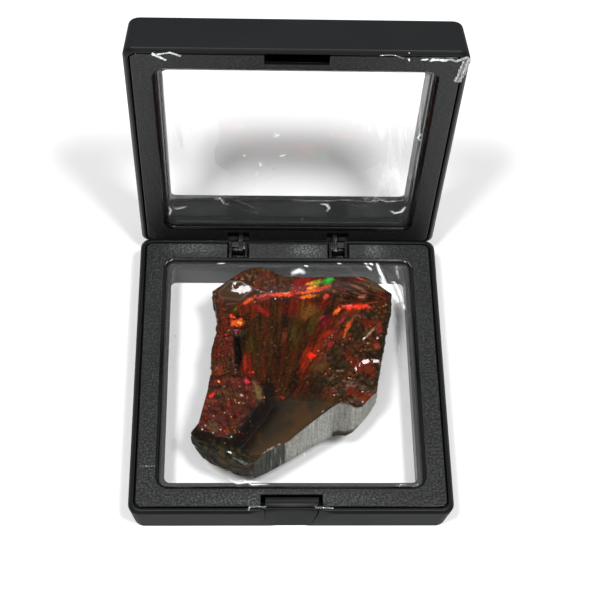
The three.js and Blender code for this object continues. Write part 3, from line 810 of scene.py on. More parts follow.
# Scraps of film that stick out between inner frame and shell, each a path in a half's x and y,
# a half width and a milkiness, which also paints their glints
LID_SCRAPS = [
    ([(29, -33.9), (27.8, -33), (26.3, -31.9)], 0.3, 0.9),
    ([(28, -33.6), (25.4, -34.2), (23.3, -33.2)], 0.22, 0.7),
    ([(-27, -32.9), (-28.4, -33), (-30.1, -32.8)], 0.34, 1.1),
    ([(-24.9, -32.9), (-26.4, -33.1)], 0.2, 1), ([(-22.3, -33.3), (-22.6, -32.6)], 0.16, 1),
    ([(-26.7, -32.7), (-27, -32.5)], 0.14, 1), ([(-22.2, -35), (-22.4, -34.9)], 0.12, 0.8),
    ([(-29.8, -32.7), (-30.7, -33.2), (-32.2, -32.6), (-33.3, -33.5), (-34.1, -33.8), (-34.8, -32.9)],
     0.26, 0.6),
    ([(-34.2, -33.4), (-33.9, -30.6), (-33.4, -27.6), (-33.1, -26.2)], 0.8, 0.34),
    ([(-33.6, -32.6), (-33.2, -29.6), (-32.7, -26.4)], 0.14, 0.6),
    ([(-34.4, -33), (-34.1, -30), (-33.7, -27.4)], 0.12, 0.6),
    ([(-16.5, -34.1), (-18.9, -34.3), (-19.7, -34.2), (-21.4, -33.3)], 0.1, 0.4),
]
BASE_SCRAPS = [
    ([(-9.3, -34.5), (-9, -33.6), (-7.6, -33.5), (-5.9, -33.7), (-5.1, -33)], 0.18, 0.35),
    ([(4.6, -33), (5.2, -33.7), (6.7, -33.8), (8.9, -33.9)], 0.18, 0.38),
]


def scraps(pieces):
    """Crumpled ribbons on the parting face: each runs along its path, its width across it, and
    its height over the face is a bank with random crumples."""
    points, faces, whitening_and_glint = [], [], []
    rows, columns = 61, 9
    along, across = np.meshgrid(
        np.linspace(0, 1, rows), np.linspace(-1, 1, columns), indexing="ij")
    for number, (path, half_width, white_and_glint_level) in enumerate(pieces):
        line = resample(path, rows)
        ahead = np.gradient(line, axis=0)
        ahead /= np.linalg.norm(ahead, axis=1, keepdims=True)
        ragged = half_width * (1 + 0.5 * hills(along * 9, across, 140 + number))
        x = line[:, :1] - ahead[:, 1:] * across * ragged
        y = line[:, 1:] + ahead[:, :1] * across * ragged
        crumple = 0.1 * rough_hills(x / 0.5, y / 0.5, 2, 150 + number)
        z = PARTING + 0.1 + 0.12 * (1 - across ** 2) + np.maximum(crumple, -0.06)
        faces.append(grid_faces(rows, columns) + rows * columns * number)
        points.append(np.stack([x, y, z], -1).reshape(-1, 3))
        streaks = 0.7 + 0.6 * hills(along * 5, across * 2.5, 160 + number)
        whitening_and_glint.append((white_and_glint_level * streaks).ravel())
    return np.concatenate(points), np.concatenate(faces), np.concatenate(whitening_and_glint)


class AMMOLITE_OT_scraps(bpy.types.Operator):
    """Draw the scraps of film caught between the inner frames and the shells"""
    bl_idname = "ammolite.scraps"
    bl_label = "Film Scraps"

    def execute(self, context):
        for body, pieces in (("base", BASE_SCRAPS), ("lid", LID_SCRAPS)):
            points, faces, whitening_and_glint = scraps(pieces)
            if body == "lid":
                points = np.stack(lid_from_half(*points.T), -1)
            piece = surface(f"{body}_film_scraps", points, faces)
            add_attribute(piece, "whitening_and_glint", kept(whitening_and_glint, faces))
            thicken(piece, SCRAP_THICKNESS)
            piece.data.materials.append(bpy.data.materials["stretch_film"])
            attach(piece, body)
        return {"FINISHED"}


# --- Specimen ---

# Its four sides, each from one corner to the next. Where the rim stands in from the foot, a
# point gives the foot and then the rim.
BACK_SIDE = [
    (-17.7, 17.2), (-15.4, 19), (-13.1, 20.8), (-10.3, 22.7), (-7.6, 23.4), (-4.8, 22.8),
    (-2, 21.5), (-1, 21), (5.1, 20.8), (11.2, 21), (17.3, 21.1), (20, 19.9), (23.5, 17.2),
]
LEFT_SIDE = [
    (-21.8, -18), (-20.1, -16.6), (-19.3, -13), (-18.1, -7.8), (-17.6, -2.6), (-17.7, 3),
    (-16.4, 8), (-16.8, 14), (-17.7, 17.2),
]
FRONT_SIDE = [
    (-21.8, -18, -21.8, -18), (-21.1, -20.1, -20.9, -19.4), (-19.2, -22.7, -18.8, -21.4),
    (-16.8, -24.2, -16.2, -22.6), (-14.2, -25.5, -13.6, -23.8), (-11.1, -26.8, -10.8, -25.2),
    (-8, -26.9, -8.2, -24.5), (-5.4, -25.6, -5.6, -22.2), (-0.7, -22.7, -0.8, -19.8),
    (4, -19.6, 3.9, -15.7), (8.4, -16.7, 8.6, -11.8), (10.5, -16.1, 10.6, -10.8),
    (12.2, -16.3, 12.5, -11.3), (13.9, -15.4, 14.2, -12.1),
]
RIGHT_SIDE = [
    (13.9, -15.4, 14.2, -12.1), (15.9, -13.2, 15.6, -11.9), (17.4, -11.4, 17.3, -9.9),
    (18.8, -9.2, 18.9, -8.5), (19.4, -5.5, 19.4, -5.5), (19.8, -3.3, 19.8, -3.3),
    (21, 3.3, 21, 3.3), (22, 8, 22, 8), (23.2, 12.8, 23.2, 12.8), (23.5, 17.2, 23.5, 17.2),
]
SAWN_FROM = -8.0         # x at which the sawn face begins
SAWN_RIGHT_SHARE = 0.2   # how far it runs up the right side

BLOCK = [
    (-18.6, -5.2), (-13.8, -4.8), (-10.6, -5.2), (-7.4, -5.2), (-5.6, -7.8), (-5.8, -11),
    (-8, -14.2), (-10.9, -18.2), (-13.4, -20.9), (-15.6, -20.6), (-21, -18.4),
]
CORNER = [
    (-23.5, -17.4), (-19, -19.3), (-14, -20.9), (-11.6, -21.7), (-8.6, -23.4), (-6.4, -23.6),
    (-6.6, -29), (-23, -28),
]
HOLLOW = [
    (-2.6, -10.4), (-0.4, -9.4), (2.6, -9.9), (5.9, -9.7), (9.4, -10.6), (12.4, -12.6), (9, -18),
    (-6, -28), (-9, -24.3), (-12.6, -21.9), (-9, -17.2), (-6, -13.4), (-4.6, -10.8),
]
ROUGH_SIDE = [
    (11.2, 10.3), (16.2, 14.6), (26, 16.5), (26, -14), (14, -12), (9.8, -10.4), (3.6, -4.3),
    (5.3, 0.2),
]
FACET = [
    (-16.8, 15.4), (-16.6, 17.6), (-14, 20), (-11, 19.9), (-8.4, 18.4), (-7.6, 16.9), (-11.4, 14.6),
]
FACET_MIDDLE = (-11.5, 17.4)
LEFT_EDGE_LINE = [(-15.2, 15.8), (-14.2, 13), (-13.1, 8.3), (-12.4, 5), (-12.4, -1.3), (-11.6, -4)]
CREVICE = [(-12.4, 7.4), (-12, 4.4), (-11.7, 0.8), (-11.8, -2.6)]
BLOCK_FOOT_LINE = [(-4.6, -9.5), (-5.2, -12), (-8.2, -16.2), (-11.8, -20.6)]
CORNER_RIDGES = [
    [(-14, -21.5), (-11.5, -23), (-8.6, -24.8)],
    [(-19.6, -20.6), (-16, -21.9), (-12.4, -24)],
]
# Small faces that lie just right to mirror a lamp: middle, half length, half width and angle
GLINTS = [
    ((16.7, -1.1), 0.95, 0.62, 20), ((19, -0.9), 0.85, 0.5, 0), ((14.5, -2.9), 0.85, 0.3, 85),
    ((15.3, -2.3), 0.4, 0.3, 0), ((16.6, 5.0), 0.5, 0.25, 50), ((12.8, -5.2), 0.55, 0.25, 5),
    ((22, 14.1), 0.35, 0.25, 60), ((-13.4, -22.2), 0.55, 0.34, 0), ((15.4, -1.6), 0.35, 0.22, 60),
    ((-9, 20.6), 0.5, 0.16, 20), ((3.1, 15.9), 0.35, 0.15, 20), ((-12.4, -14.6), 0.3, 0.2, 0),
    ((9.6, 1.2), 0.3, 0.2, 30), ((19.6, 5), 0.36, 0.28, 60), ((-11.1, 20.5), 0.36, 0.26, 0),
    ((-10.9, 17.9), 0.3, 0.24, 0), ((-17.2, -15.6), 0.24, 0.2, 0), ((-13.5, -13), 0.24, 0.2, 0),
]

GROWTH_CENTRE = (-8, -29)   # the growth lines spread from here
GROWTH_RADIUS = 32          # where a millimetre across them is a real one, in millimetres
STONE_TOP = 15.6
UNDERSIDE = FILM_HEIGHT + HALF_FILM
UNDERSIDE_RINGS = 10        # rows of faces from the foot to the middle of the underside
SHELL, SAWN, RAW = 0, 1, 2  # material numbers of the faces
SHARP_DEGREES = 55          # edges sharper than this aren't shaded smooth


def resample(path, count):
    """Points evenly spaced along a line of straight pieces, by the length of its first two
    coordinates; any others come along."""
    path = np.asarray(path, float)
    starts = np.concatenate([[0], np.cumsum(np.hypot(*np.diff(path[:, :2], axis=0).T))])
    at = np.linspace(0, starts[-1], count)
    return np.stack([np.interp(at, starts, column) for column in path.T], -1)


def behind_scarp(x, y, start=17.4):
    """How far behind the scarp a point lies, the step up to the higher strip along the back."""
    return y - start - 0.1 * x


def from_cut(x, y):
    """How far in from the cut edge of the hollow a point lies."""
    return -0.582 * (x + 8) + 0.813 * (y + 24.1)


def plate_height(x, y):
    """The shell plate: gently dished, with a higher strip along the back that falls away at its
    right end, a hump at the back left, a low swelling at the right and a fall to the hollow."""
    strip = 0.55 * soft_step(-1.2, 1.2, behind_scarp(x, y) + 0.6 * hills(x / 4, y / 4, 5))
    dish = -0.7 * np.exp(-((x + 1) / 9) ** 2 - ((y - 5) / 9) ** 2)
    hump = 0.45 * np.exp(-((x + 8) / 5) ** 2 - ((y - 22) / 3) ** 2)
    swelling = 0.3 * np.exp(-((x - 14) / 6) ** 2 - ((y + 3) / 6) ** 2)
    fall = -0.9 * soft_step(15, 25, x + 0.25 * (y - 10))
    brink = -0.35 * soft_step(-3, -12, y) * soft_step(-2, 6, x)
    return 14.1 + 0.02 * x + strip + dish + hump + swelling + fall + brink


def hollow_height(x, y):
    """The smooth hollow: it rises from the sawn edge to the plate, and a furrow runs along the
    foot of the block."""
    furrow, _ = from_path(x, y, BLOCK_FOOT_LINE)
    return 12.3 + 0.08 * (x + 8) + 0.16 * from_cut(x, y) - 0.7 * np.exp(-(furrow / 1.7) ** 2)


def growth_place(x, y):
    """Millimetres across and along the growth lines, which spread from one centre."""
    dx, dy = x - GROWTH_CENTRE[0], y - GROWTH_CENTRE[1]
    return GROWTH_RADIUS * np.arctan2(dx, dy), np.hypot(dx, dy)


def lamp_slope(x, y):
    """Rise to the right and to the back of a face that mirrors the left lamp."""
    return 0.165 + 0.0026 * x, 0.394 + 0.0025 * y


def glint_share(x, y, rim, core):
    """1 on the small mirroring faces, 0 away from them, with a soft border from rim to core."""
    share = np.zeros(np.shape(x))
    for glint in GLINTS:
        share = np.maximum(share, soft_step(rim, core, spot(x, y, *glint)))
    return share


def regions(x, y):
    """How much each point belongs to each region of the upper side, 0 to 1."""
    wobble = 0.35 * hills(x / 1.3, y / 1.3, 21)
    return {
        "hollow": soft_step(-1.1, 1.1, inside(x, y, HOLLOW) + wobble),
        "block": soft_step(-1, 0.7, inside(x, y, BLOCK) + wobble),
        "corner": soft_step(-0.8, 0.5, inside(x, y, CORNER) + 1.5 * wobble),
        "rough": soft_step(-1.5, 1.5, inside(x, y, ROUGH_SIDE) + 2 * wobble),
        "facet": soft_step(-0.2, 0.6, inside(x, y, FACET)),
        "hump": soft_step(0, 1.2, behind_scarp(x, y, 17.6)) * soft_step(1.5, -0.5, x + 1),
        "left": left_of_line(x, y),
    }


def left_of_line(x, y):
    """1 on the broken strip of layers along the left edge, above the block."""
    line = np.asarray(LEFT_EDGE_LINE[::-1], float)
    edge = np.interp(y, line[:, 1], line[:, 0])
    within = soft_step(-4.5, -3.5, y) * soft_step(16.5, 15.5, y)
    return soft_step(0.25, -0.25, x - edge + 0.4 * hills(x / 2, y / 2, 33)) * within


def upper_height(x, y):
    """Height of the upper side: the plate, then the broken strip and the crevice at the left,
    the polished facet, the hollow, the block and the dark corner, each with its own grain. At
    the end small faces are tilted so that they mirror a lamp."""
    zone = regions(x, y)
    across, along = growth_place(x, y)
    height = plate_height(x, y)
    ridges = 0.05 * hills(across / 1.7, along / 14, 2) + 0.02 * hills(across / 0.6, along / 8, 4)
    height += ridges + zone["rough"] * 0.17 * rough_hills(x / 2.2, y / 2.2, 4, 11)
    height += zone["hump"] * 0.09 * rough_hills(x / 1.2, y / 1.2, 3, 18)

    broken = 13.4 + 0.2 * (x + 14) + 0.16 * rough_hills(x / 1.4, y / 2.4, 3, 36)
    height = mix(height, broken, zone["left"])
    distance, fade = from_path(x, y, CREVICE)
    ragged = distance + 0.25 * hills(x / 0.9, y / 0.9, 35)
    height -= np.exp(-(ragged / 0.55) ** 2) * np.sin(math.pi * fade) ** 0.5

    # The facet is a very flat dish whose middle mirrors a lamp
    dx, dy = x - FACET_MIDDLE[0], y - FACET_MIDDLE[1]
    sideways, backwards = lamp_slope(*FACET_MIDDLE)
    facet = 14.6 + sideways * dx + backwards * dy + 0.015 * dx * dx + 0.036 * dy * dy
    facet += 0.02 * hills(x / 1.5, y / 1.5, 65)
    facet += 0.05 * np.exp(-(((dx + 1) / 0.45) ** 2 + ((dy - 1) / 0.5) ** 2))
    block = 15 + 0.02 * (y + 12) - 0.03 * (x + 12) + 0.1 * rough_hills(x / 1.4, y / 1.4, 4, 41)
    corner = 12.4 - 0.02 * (x + 14) + 0.04 * (y + 22) + 0.1 * rough_hills(x / 1.6, y / 1.6, 4, 51)
    for ridge in CORNER_RIDGES:
        distance, _ = from_path(x, y, ridge)
        corner += 0.12 * np.exp(-(distance / 0.35) ** 2)
    for name, level in (
        ("facet", facet), ("hollow", hollow_height(x, y)), ("block", block), ("corner", corner),
    ):
        height = mix(height, level, zone[name])
    height += 0.015 * hills(x / 0.5, y / 0.5, 61) * (1 - zone["hollow"]) * (1 - zone["facet"])

    for glint in GLINTS:
        middle = glint[0]
        share = soft_step(1.5, 1, spot(x, y, *glint))
        sideways, backwards = lamp_slope(*middle)
        tilt = sideways * (x - middle[0]) + backwards * (y - middle[1])
        level = float(np.sum(height * share) / max(np.sum(share), 1e-6))
        height = mix(height, level + tilt, share)
    return np.minimum(height, STONE_TOP)


# Flashes of colour, with a few pale spots that paint highlights and a near-black streak that paints
# shade in the crevice: middle, half length, half width, angle and sRGB colour
FLASHES_AND_PAINTED_LIGHT = [
    ((-2.4, 16.6), 4.2, 0.6, 4, "ff4a24"), ((-9.4, 15), 2, 0.6, 30, "e85a24"),
    ((-6.3, 16.1), 1.5, 0.45, 26, "e0483a"), ((-6, 15.4), 2.2, 0.5, 20, "8a1a14"),
    ((-1, 16.9), 1.2, 0.22, 4, "ff9a50"), ((1.8, 16.9), 1.6, 0.4, 8, "d03018"),
    # Painted highlights: the pale thin lines on this line and the next two paint the glint along the
    # rims of the facet and the scarp
    ((-12.3, 12.9), 1.1, 0.29, 54, "4d6a1c"), ((-8.4, 17.8), 1.8, 0.12, -16, "c8b8b0"),
    ((-5.2, 17), 1.6, 0.1, -10, "a08880"), ((-13.4, 14.2), 2.4, 0.13, 6, "7c5c54"),
    ((-13.6, 13.3), 1.9, 0.1, 4, "5c3c34"), ((-15.6, 15), 1, 0.1, -60, "6a4a42"),
    ((19.8, 18.5), 3.3, 0.2, -21, "120c08"), ((19.9, 19.3), 2.8, 0.28, -24, "5c4228"),
    ((15.5, 15.9), 4, 0.32, 5, "0c0a08"), ((14.4, 17.5), 3.4, 0.2, 8, "100b08"),
    ((17, 16.5), 0.8, 0.2, 12, "8a7464"), ((12.7, 19.3), 2.6, 0.55, 10, "4c1210"),
    ((21.4, 15.8), 1.5, 0.3, -30, "4a120c"), ((9.6, 15.4), 1.4, 0.3, 30, "1a0e0a"),
    ((-11.7, 9.4), 1.7, 1.05, 0, "ff5a1c"), ((-12.9, 10.8), 0.9, 0.47, -44, "f04a1c"),
    ((-11.2, 9.3), 1.0, 0.41, -7, "ffa040"), ((-11.5, 6.7), 1.6, 0.93, -14, "2c3a14"),
    ((-11.8, 7), 0.9, 0.47, 0, "7a1030"), ((-10.3, -1.1), 2.5, 0.47, -87, "8f2414"),
    ((-8.6, -3.4), 0.7, 0.35, 0, "d33030"), ((-15.9, -2.6), 1.8, 1.05, -89, "7c3414"),
    # Painted shade: the near-black streak at (-11.7, 1.2) is the shadow in the crevice
    ((-11.7, 1.2), 3.8, 0.7, -93, "15100c"), ((-6.8, 12.7), 2.3, 1.05, -38, "8a1f14"),
    ((-1.3, 6.1), 1.8, 0.81, -101, "5c2a14"), ((0.4, 16.4), 0.8, 0.47, 10, "ff4a28"),
    ((5.9, 17.7), 3.7, 0.5, 13, "ff5a1c"), ((4.3, 16.1), 2.2, 0.6, 7, "f0741c"),
    ((8.4, 16.2), 1.1, 0.7, 21, "e04a30"), ((8.4, 19.8), 2.4, 0.9, 18, "178a26"),
    ((9.4, 20.2), 1.2, 0.55, 17, "22b034"), ((6.2, 19.5), 1.5, 0.6, 21, "8a9a1c"),
    ((8, 18.3), 2.2, 0.35, 14, "c83c14"), ((5, 18.2), 1.4, 0.3, 12, "f0a030"),
    ((4.7, 19.3), 1.2, 0.41, 13, "f0a020"), ((2.8, 20), 2.5, 0.9, 16, "7c1812"),
    ((14.7, 13.3), 4.2, 0.8, 2, "ff3818"), ((10.9, 12.4), 1.4, 0.6, 52, "ff6a20"),
    ((13, 13.5), 1.6, 0.25, 2, "ff7060"), ((18.4, 14.5), 1.8, 0.2, 12, "7a3c20"),
    # Painted highlight: the pink spot at (16.4, 20.5)
    ((16.8, 16), 0.9, 0.35, 9, "c06a50"), ((16.4, 20.5), 1.1, 0.3, -28, "b0483a"),
    ((19.9, 18.4), 2.4, 0.81, -16, "4a3a20"), ((13.2, 8.1), 2.5, 0.58, -116, "c8501a"),
    ((11.9, 9.8), 1.2, 0.36, 53, "94203a"), ((7, 10.4), 1.3, 0.36, 30, "8c2434"),
    ((8.8, 6.6), 1.9, 0.8, 33, "8c2012"), ((4.7, 0.8), 1.0, 0.81, -7, "ff2a10"),
    ((8.9, 3.3), 1.5, 0.47, 61, "8a1a1a"), ((4.1, 12.1), 2.6, 1.63, 45, "6a4014"),
    ((0.9, 6.7), 2.5, 1.05, -91, "3c3210"), ((17.9, 6.3), 2.5, 0.35, 51, "9a8060"),
    ((20.2, 7.7), 1.8, 0.7, -96, "7a2a1c"), ((19.5, 2.9), 1.4, 0.7, -93, "8a3a22"),
    ((17.8, 0.8), 1.6, 0.81, 0, "0e0a0a"), ((15.6, -1.8), 1.7, 0.7, 9, "6e1f14"),
    ((6.8, -1.8), 2.2, 1.4, 7, "4a3a18"), ((10.8, -3.4), 0.8, 0.35, 9, "8a6a48"),
    ((-9.7, -6.4), 0.7, 0.52, 11, "e8304a"), ((-17.3, -9.9), 1.0, 0.52, 49, "e03030"),
    ((-15.9, -6.5), 0.3, 0.29, 0, "ff9040"), ((-3.1, -8.1), 0.5, 0.23, 16, "e06040"),
    ((-1.9, -9.8), 0.4, 0.35, -20, "b02018"), ((-7.3, -8.6), 2.5, 0.93, -69, "6a5430"),
    ((-17, -17.2), 1.8, 1.05, -52, "4f4024"), ((-12.6, -6.1), 1.5, 0.93, -25, "6a2a18"),
    # Painted highlight: the pale pink blotch at (-10.8, -9.7) on the block
    ((-10.8, -9.7), 0.5, 0.29, -38, "c8a8a0"), ((-10.9, -24.3), 2.0, 0.35, -28, "5f6a62"),
    ((-4.4, -21.4), 0.8, 0.26, 31, "8e9080"), ((-5.9, -22.3), 0.4, 0.24, 39, "8e9080"),
    ((-2.8, -20.5), 0.4, 0.18, 31, "a8a898"), ((6.9, -12.9), 0.4, 0.14, 40, "9a9a8c"),
]

# Broad glows in the shell's ground colour: middle, half length, half width, angle and colour
GLOWS = [
    ((8.2, 5), 9, 2.4, 60, "70200f"), ((13, 11), 5, 1.6, 62, "7a2c10"),
    ((4, 13.6), 8, 2, 12, "5c1810"), ((6.6, 3.6), 5, 0.8, 62, "701a0e"),
    ((10.8, 4.4), 4.4, 0.7, 64, "1c240c"), ((5.4, 8.4), 3, 0.7, 58, "28280e"),
    ((8, 9.4), 2.4, 0.7, 50, "5c1420"), ((12.4, 7.6), 2.4, 0.5, 60, "1e2410"),
    ((-9, 13), 3.6, 2.4, 20, "5c2410"), ((4.6, 11.8), 3.2, 2, 50, "4a340f"),
    ((-3.4, 7), 5, 3, 90, "2e1a0c"), ((-9, 4), 3, 1.2, 85, "38320f"), ((1.4, 6), 4, 1.4, 80, "38280d"),
    ((-9.6, -1), 3.4, 1, 88, "6e1a10"), ((3.4, -1.4), 4.4, 1.6, 68, "7a2410"),
    ((6.6, -2), 2.6, 1.8, 20, "44300f"), ((9, -5), 5, 1.8, 20, "241408"), ((-2, -4), 5, 3, 70, "30180b"),
    ((4.6, 19.2), 4.4, 1.4, 14, "7a1610"), ((12.6, 18.8), 5, 1.6, 6, "3c1c0c"),
    ((18, 17), 4.4, 1.4, -14, "35200e"),
]


def tinted(tone, *steps):
    """A colour with others laid over it in turn. Each step has a hex colour, where its share
    begins, where it is full, the values that it goes by and the factors of its full share."""
    tone = linear(tone) if isinstance(tone, str) else tone
    for hex_colour, low, high, values, *share in steps:
        tone = mix(tone, linear(hex_colour), math.prod(share) * soft_step(low, high, values))
    return tone


def upper_tone(x, y, zone):
    """Ground colour of the upper side: streaks of wine red, rust and olive along the growth lines, brown
    crumbs at the right and on the hump, maroon on the block, a smooth brown in the hollow and near black
    in the corner. Painted shade lies round the block, along its right foot, in the hollow beside it and
    in the crevice."""
    across, along = growth_place(x, y)
    broad = rough_hills(across / 5, along / 18, 2, 75)
    streak = rough_hills(across / 1.5, along / 14, 4, 71)
    lines = np.abs(hills(across / 0.7, along / 12, 73))
    patch = rough_hills(x / 4, y / 4, 3, 77)
    grain = 1.3 * rough_hills(x / 1.2, y / 1.2, 3, 81)
    speck = 1.3 * rough_hills(x / 0.6, y / 0.9, 2, 87)
    fine = 1.3 * rough_hills(x / 0.45, y / 0.45, 2, 85)
    crumbs = 0.75 * (1.3 * rough_hills(x / 0.8, y / 0.8, 3, 83)) + 0.45 * fine
    in_block = inside(x, y, BLOCK)
    from_wall, _ = from_path(x, y, BLOCK_FOOT_LINE)

    tone = tinted("33200f", ("1d100a", 0.1, -0.6, broad), ("4a180c", -0.1, 0.6, streak, 0.8))
    for *place_in, hex_colour in GLOWS:
        rim = spot(x, y, *place_in) - 0.45 * streak + 0.55 * patch
        tone = tinted(tone, (hex_colour, 1.3, 0.3, rim, 0.85))
    tone = tone * mix(1.06, 0.8, soft_step(0.14, 0.02, lines))
    tone = tinted(tone, ("422c14", 0.15, 0.7, speck, 0.4), ("120a07", -0.2, -0.7, speck, 0.35))

    # The higher strip ends at the right in broken layers that fall to the right
    fall = y + 0.38 * (x - 15)
    layer = 1.3 * rough_hills(fall / 0.9, x / 6, 3, 131)
    layers = tinted("150e09", ("4c3422", 0, 0.5, layer), ("7c5a46", 0.6, 0.9, layer),
                    ("5a1610", -0.4, -0.7, layer))
    at_end = soft_step(8, 11, x) * soft_step(14.4, 15.4, y + 0.3 * hills(x / 2, y / 2, 133))
    rough = tinted("3a1d10", ("5a4a30", 0.15, 0.7, crumbs), ("262414", 0, -0.5, patch, 0.8),
                   ("0f0a07", -0.1, -0.55, crumbs), ("64200f", 0.1, 0.5, patch, 0.8))
    hump = tinted("3f2314", ("6a4e30", 0.2, 0.8, crumbs),
                  ("1c0d08", -0.05, -0.5, crumbs + 0.5 * patch), ("58180e", 0.2, 0.6, patch, 0.5))
    left = tinted("4c1a10", ("34210f", -0.3, 0.4, patch), ("6a2e1a", 0.2, 0.7, fine, 0.7),
                  ("1c100b", -0.1, -0.6, crumbs), ("7a5a44", 0.6, 1, crumbs, 0.7))
    for colour, share in (
        (layers, 0.85 * at_end), (rough, 0.85 * zone["rough"]), (hump, zone["hump"]),
        (linear("40342c"), zone["facet"]), (left, zone["left"]),
    ):
        tone = mix(tone, colour, share)

    # Painted shade on the ground round the block and in the crevice at the left
    crevice, fade = from_path(x, y, CREVICE)
    tone = tinted(
        tone, ("140d08", -3.4, -1.4, in_block + 0.6 * patch, soft_step(-5, -7, y)),
        ("0d0907", 1, 0.5, crevice, np.sin(math.pi * fade) ** 0.4),
    )
    # In the hollow, the darkening near the block's foot is painted shade
    hollow = tinted(
        "1e170a", ("2f1d0c", 0, 0.5, patch + 0.2 * streak),
        ("0e0a07", 4, 1, from_wall + 0.8 * patch), ("3e2a14", 3, 0.5, from_cut(x, y), 0.45),
    )
    foot, _ = from_path(x, y, BLOCK[-4:])
    # On the block, the darkening along its right foot is painted shade
    block = tinted(
        "45180f", ("37220f", 0, 0.5, patch), ("6a3626", 0.35, 0.9, grain),
        ("230f0a", -0.2, -0.7, grain), ("5c2834", 0.3, 0.8, fine - 0.5 * patch, 0.3),
        ("4a3420", 0.1, 0.6, fine + 0.5 * patch, 0.5),
        ("100b08", 2.2, 0.2, in_block + 0.4 * patch, soft_step(3.4, 1.6, from_wall)),
        ("1c110b", 1.4, 0.5, foot + 0.3 * patch, soft_step(-16.5, -18, y)),
    )
    corner = tinted("17140c", ("34301c", 0.1, 0.8, grain + 0.5 * patch),
                    ("4c4a36", 0.6, 1, crumbs, 0.6))
    for name, colour in (("hollow", hollow), ("block", block), ("corner", corner)):
        tone = mix(tone, colour, zone[name])

    # Weathered shale shows along the right edge
    edge, _ = from_path(x, y, [point[2:] for point in RIGHT_SIDE])
    bare = soft_step(1.5, 0.7, edge + 0.5 * patch + 0.3 * crumbs) * soft_step(-9, -6, y)
    tone = mix(tone, tinted("1d1a14", ("3a352a", 0, 0.7, crumbs)), 0.85 * bare)
    # The wet-looking polish takes the grey out of the colours
    return (tone - 0.6 * tone.min(-1, keepdims=True)) * (1.16, 1.1, 1.1)


def upper_roughness(x, y, zone):
    """How matt each point is: polished plate and facet, duller hollow, crumbly rest, and the
    dull brinks between them. Small mirroring faces are the smoothest."""
    matt = np.full(x.shape, 0.22)
    for name, value in (
        ("rough", 0.3), ("hump", 0.34), ("left", 0.36), ("hollow", 0.3),
        ("block", 0.36), ("corner", 0.62),
    ):
        matt = mix(matt, value, zone[name])
        if name != "rough":
            matt = mix(matt, 0.8, soft_step(0, 0.06, zone[name] * (1 - zone[name])))
    matt = mix(matt, 0.6, soft_step(0.05, 0.4, zone["facet"]))
    matt = mix(matt, 0, soft_step(0.65, 0.85, inside(x, y, FACET)))
    at_scarp = soft_step(3, 0.5, np.abs(behind_scarp(x, y)))
    matt = mix(matt, 0.5, at_scarp * (1 - zone["facet"]))
    return mix(matt, 0.05, glint_share(x, y, 1.6, 1.1))


def sparkle_share(x, y, zone):
    """How strongly the specks of colour show: most on the crumbly regions and along the scarp
    at the back, faintly on the plate, none in the hollow and the facet."""
    crumbly = np.maximum.reduce([zone[name] for name in ("rough", "hump", "left", "block")])
    scarp = soft_step(2.5, 0.5, np.abs(behind_scarp(x, y, 16.8))) * soft_step(-13, -9, x)
    share = np.maximum(0.15 + 0.6 * crumbly, 0.9 * scarp)
    clumps = soft_step(-0.4, 0.5, rough_hills(x / 2.5, y / 2.5, 2, 121))
    dull = np.maximum(zone["hollow"], zone["facet"])
    return share * clumps * (1 - dull) * (1 - 0.6 * zone["corner"])


def paint_flashes_and_light(x, y):
    """Colour and strength of the flashes, painted highlights and painted shade at each point. Each is a
    long spot whose rim is frayed along the growth lines, redder and darker towards its rim."""
    across, along = growth_place(x, y)
    fray = 0.5 * rough_hills(across / 0.8, along / 3, 3, 91)
    fray = fray + 0.35 * rough_hills(x / 0.7, y / 0.7, 2, 95)
    colour, strength = np.zeros((len(x), 3)), np.zeros(x.shape)
    for *place_in, hex_colour in FLASHES_AND_PAINTED_LIGHT:
        rim = spot(x, y, *place_in) + fray
        share = soft_step(1.35, 0.5, rim)
        bright = linear(hex_colour) * settings().stone.fire
        tint = mix(bright * (0.55, 0.4, 0.5), bright, soft_step(1.1, 0.4, rim))
        colour = mix(colour, tint, soft_step(0, 0.3, share))
        strength = np.maximum(strength, share)
    return colour, strength


def wall_tone(x, y, z):
    """Colour of the sides: black-grey at the left end of the cut, light grey from there on with painted
    shade along its bottom near its right end, and dark shale with rusty layers on the broken sides."""
    patch = rough_hills(x / 2, (y + z) / 2, 3, 111)
    raw = tinted("26231c", ("382413", 0, 0.6, patch), ("13110e", -0.1, -0.6, patch))
    marks = hills(x / 0.35, z / 5, 113)
    sawn = tinted(
        "3a3a35", ("20201d", 0, -0.5, marks),
        ("a0a098", 0.3, 0.7, marks, 0.7, soft_step(-5.6, -4, x)), ("8b8b85", -1.6, -0.8, x),
        ("6c6b66", 8, 9.5, x, soft_step(13.6, 12.8, x)), ("95948c", 13.6, 15, x),
        # Painted shade: the dark brown at the bottom of the cut near its right end
        ("1e150e", 8.9, 8.4, z, soft_step(8.6, 9.6, x), x < 15),
    )
    return np.where((x > SAWN_FROM) & (y < 0), sawn, raw)


def loop_of(rows, columns):
    """Vertex numbers round the rim of a grid, counter-clockwise seen from above."""
    front = np.arange(columns)
    right = np.arange(1, rows) * columns + columns - 1
    back = (rows - 1) * columns + np.arange(columns - 2, -1, -1)
    left = np.arange(rows - 2, 0, -1) * columns
    return np.concatenate([front, right, back, left])


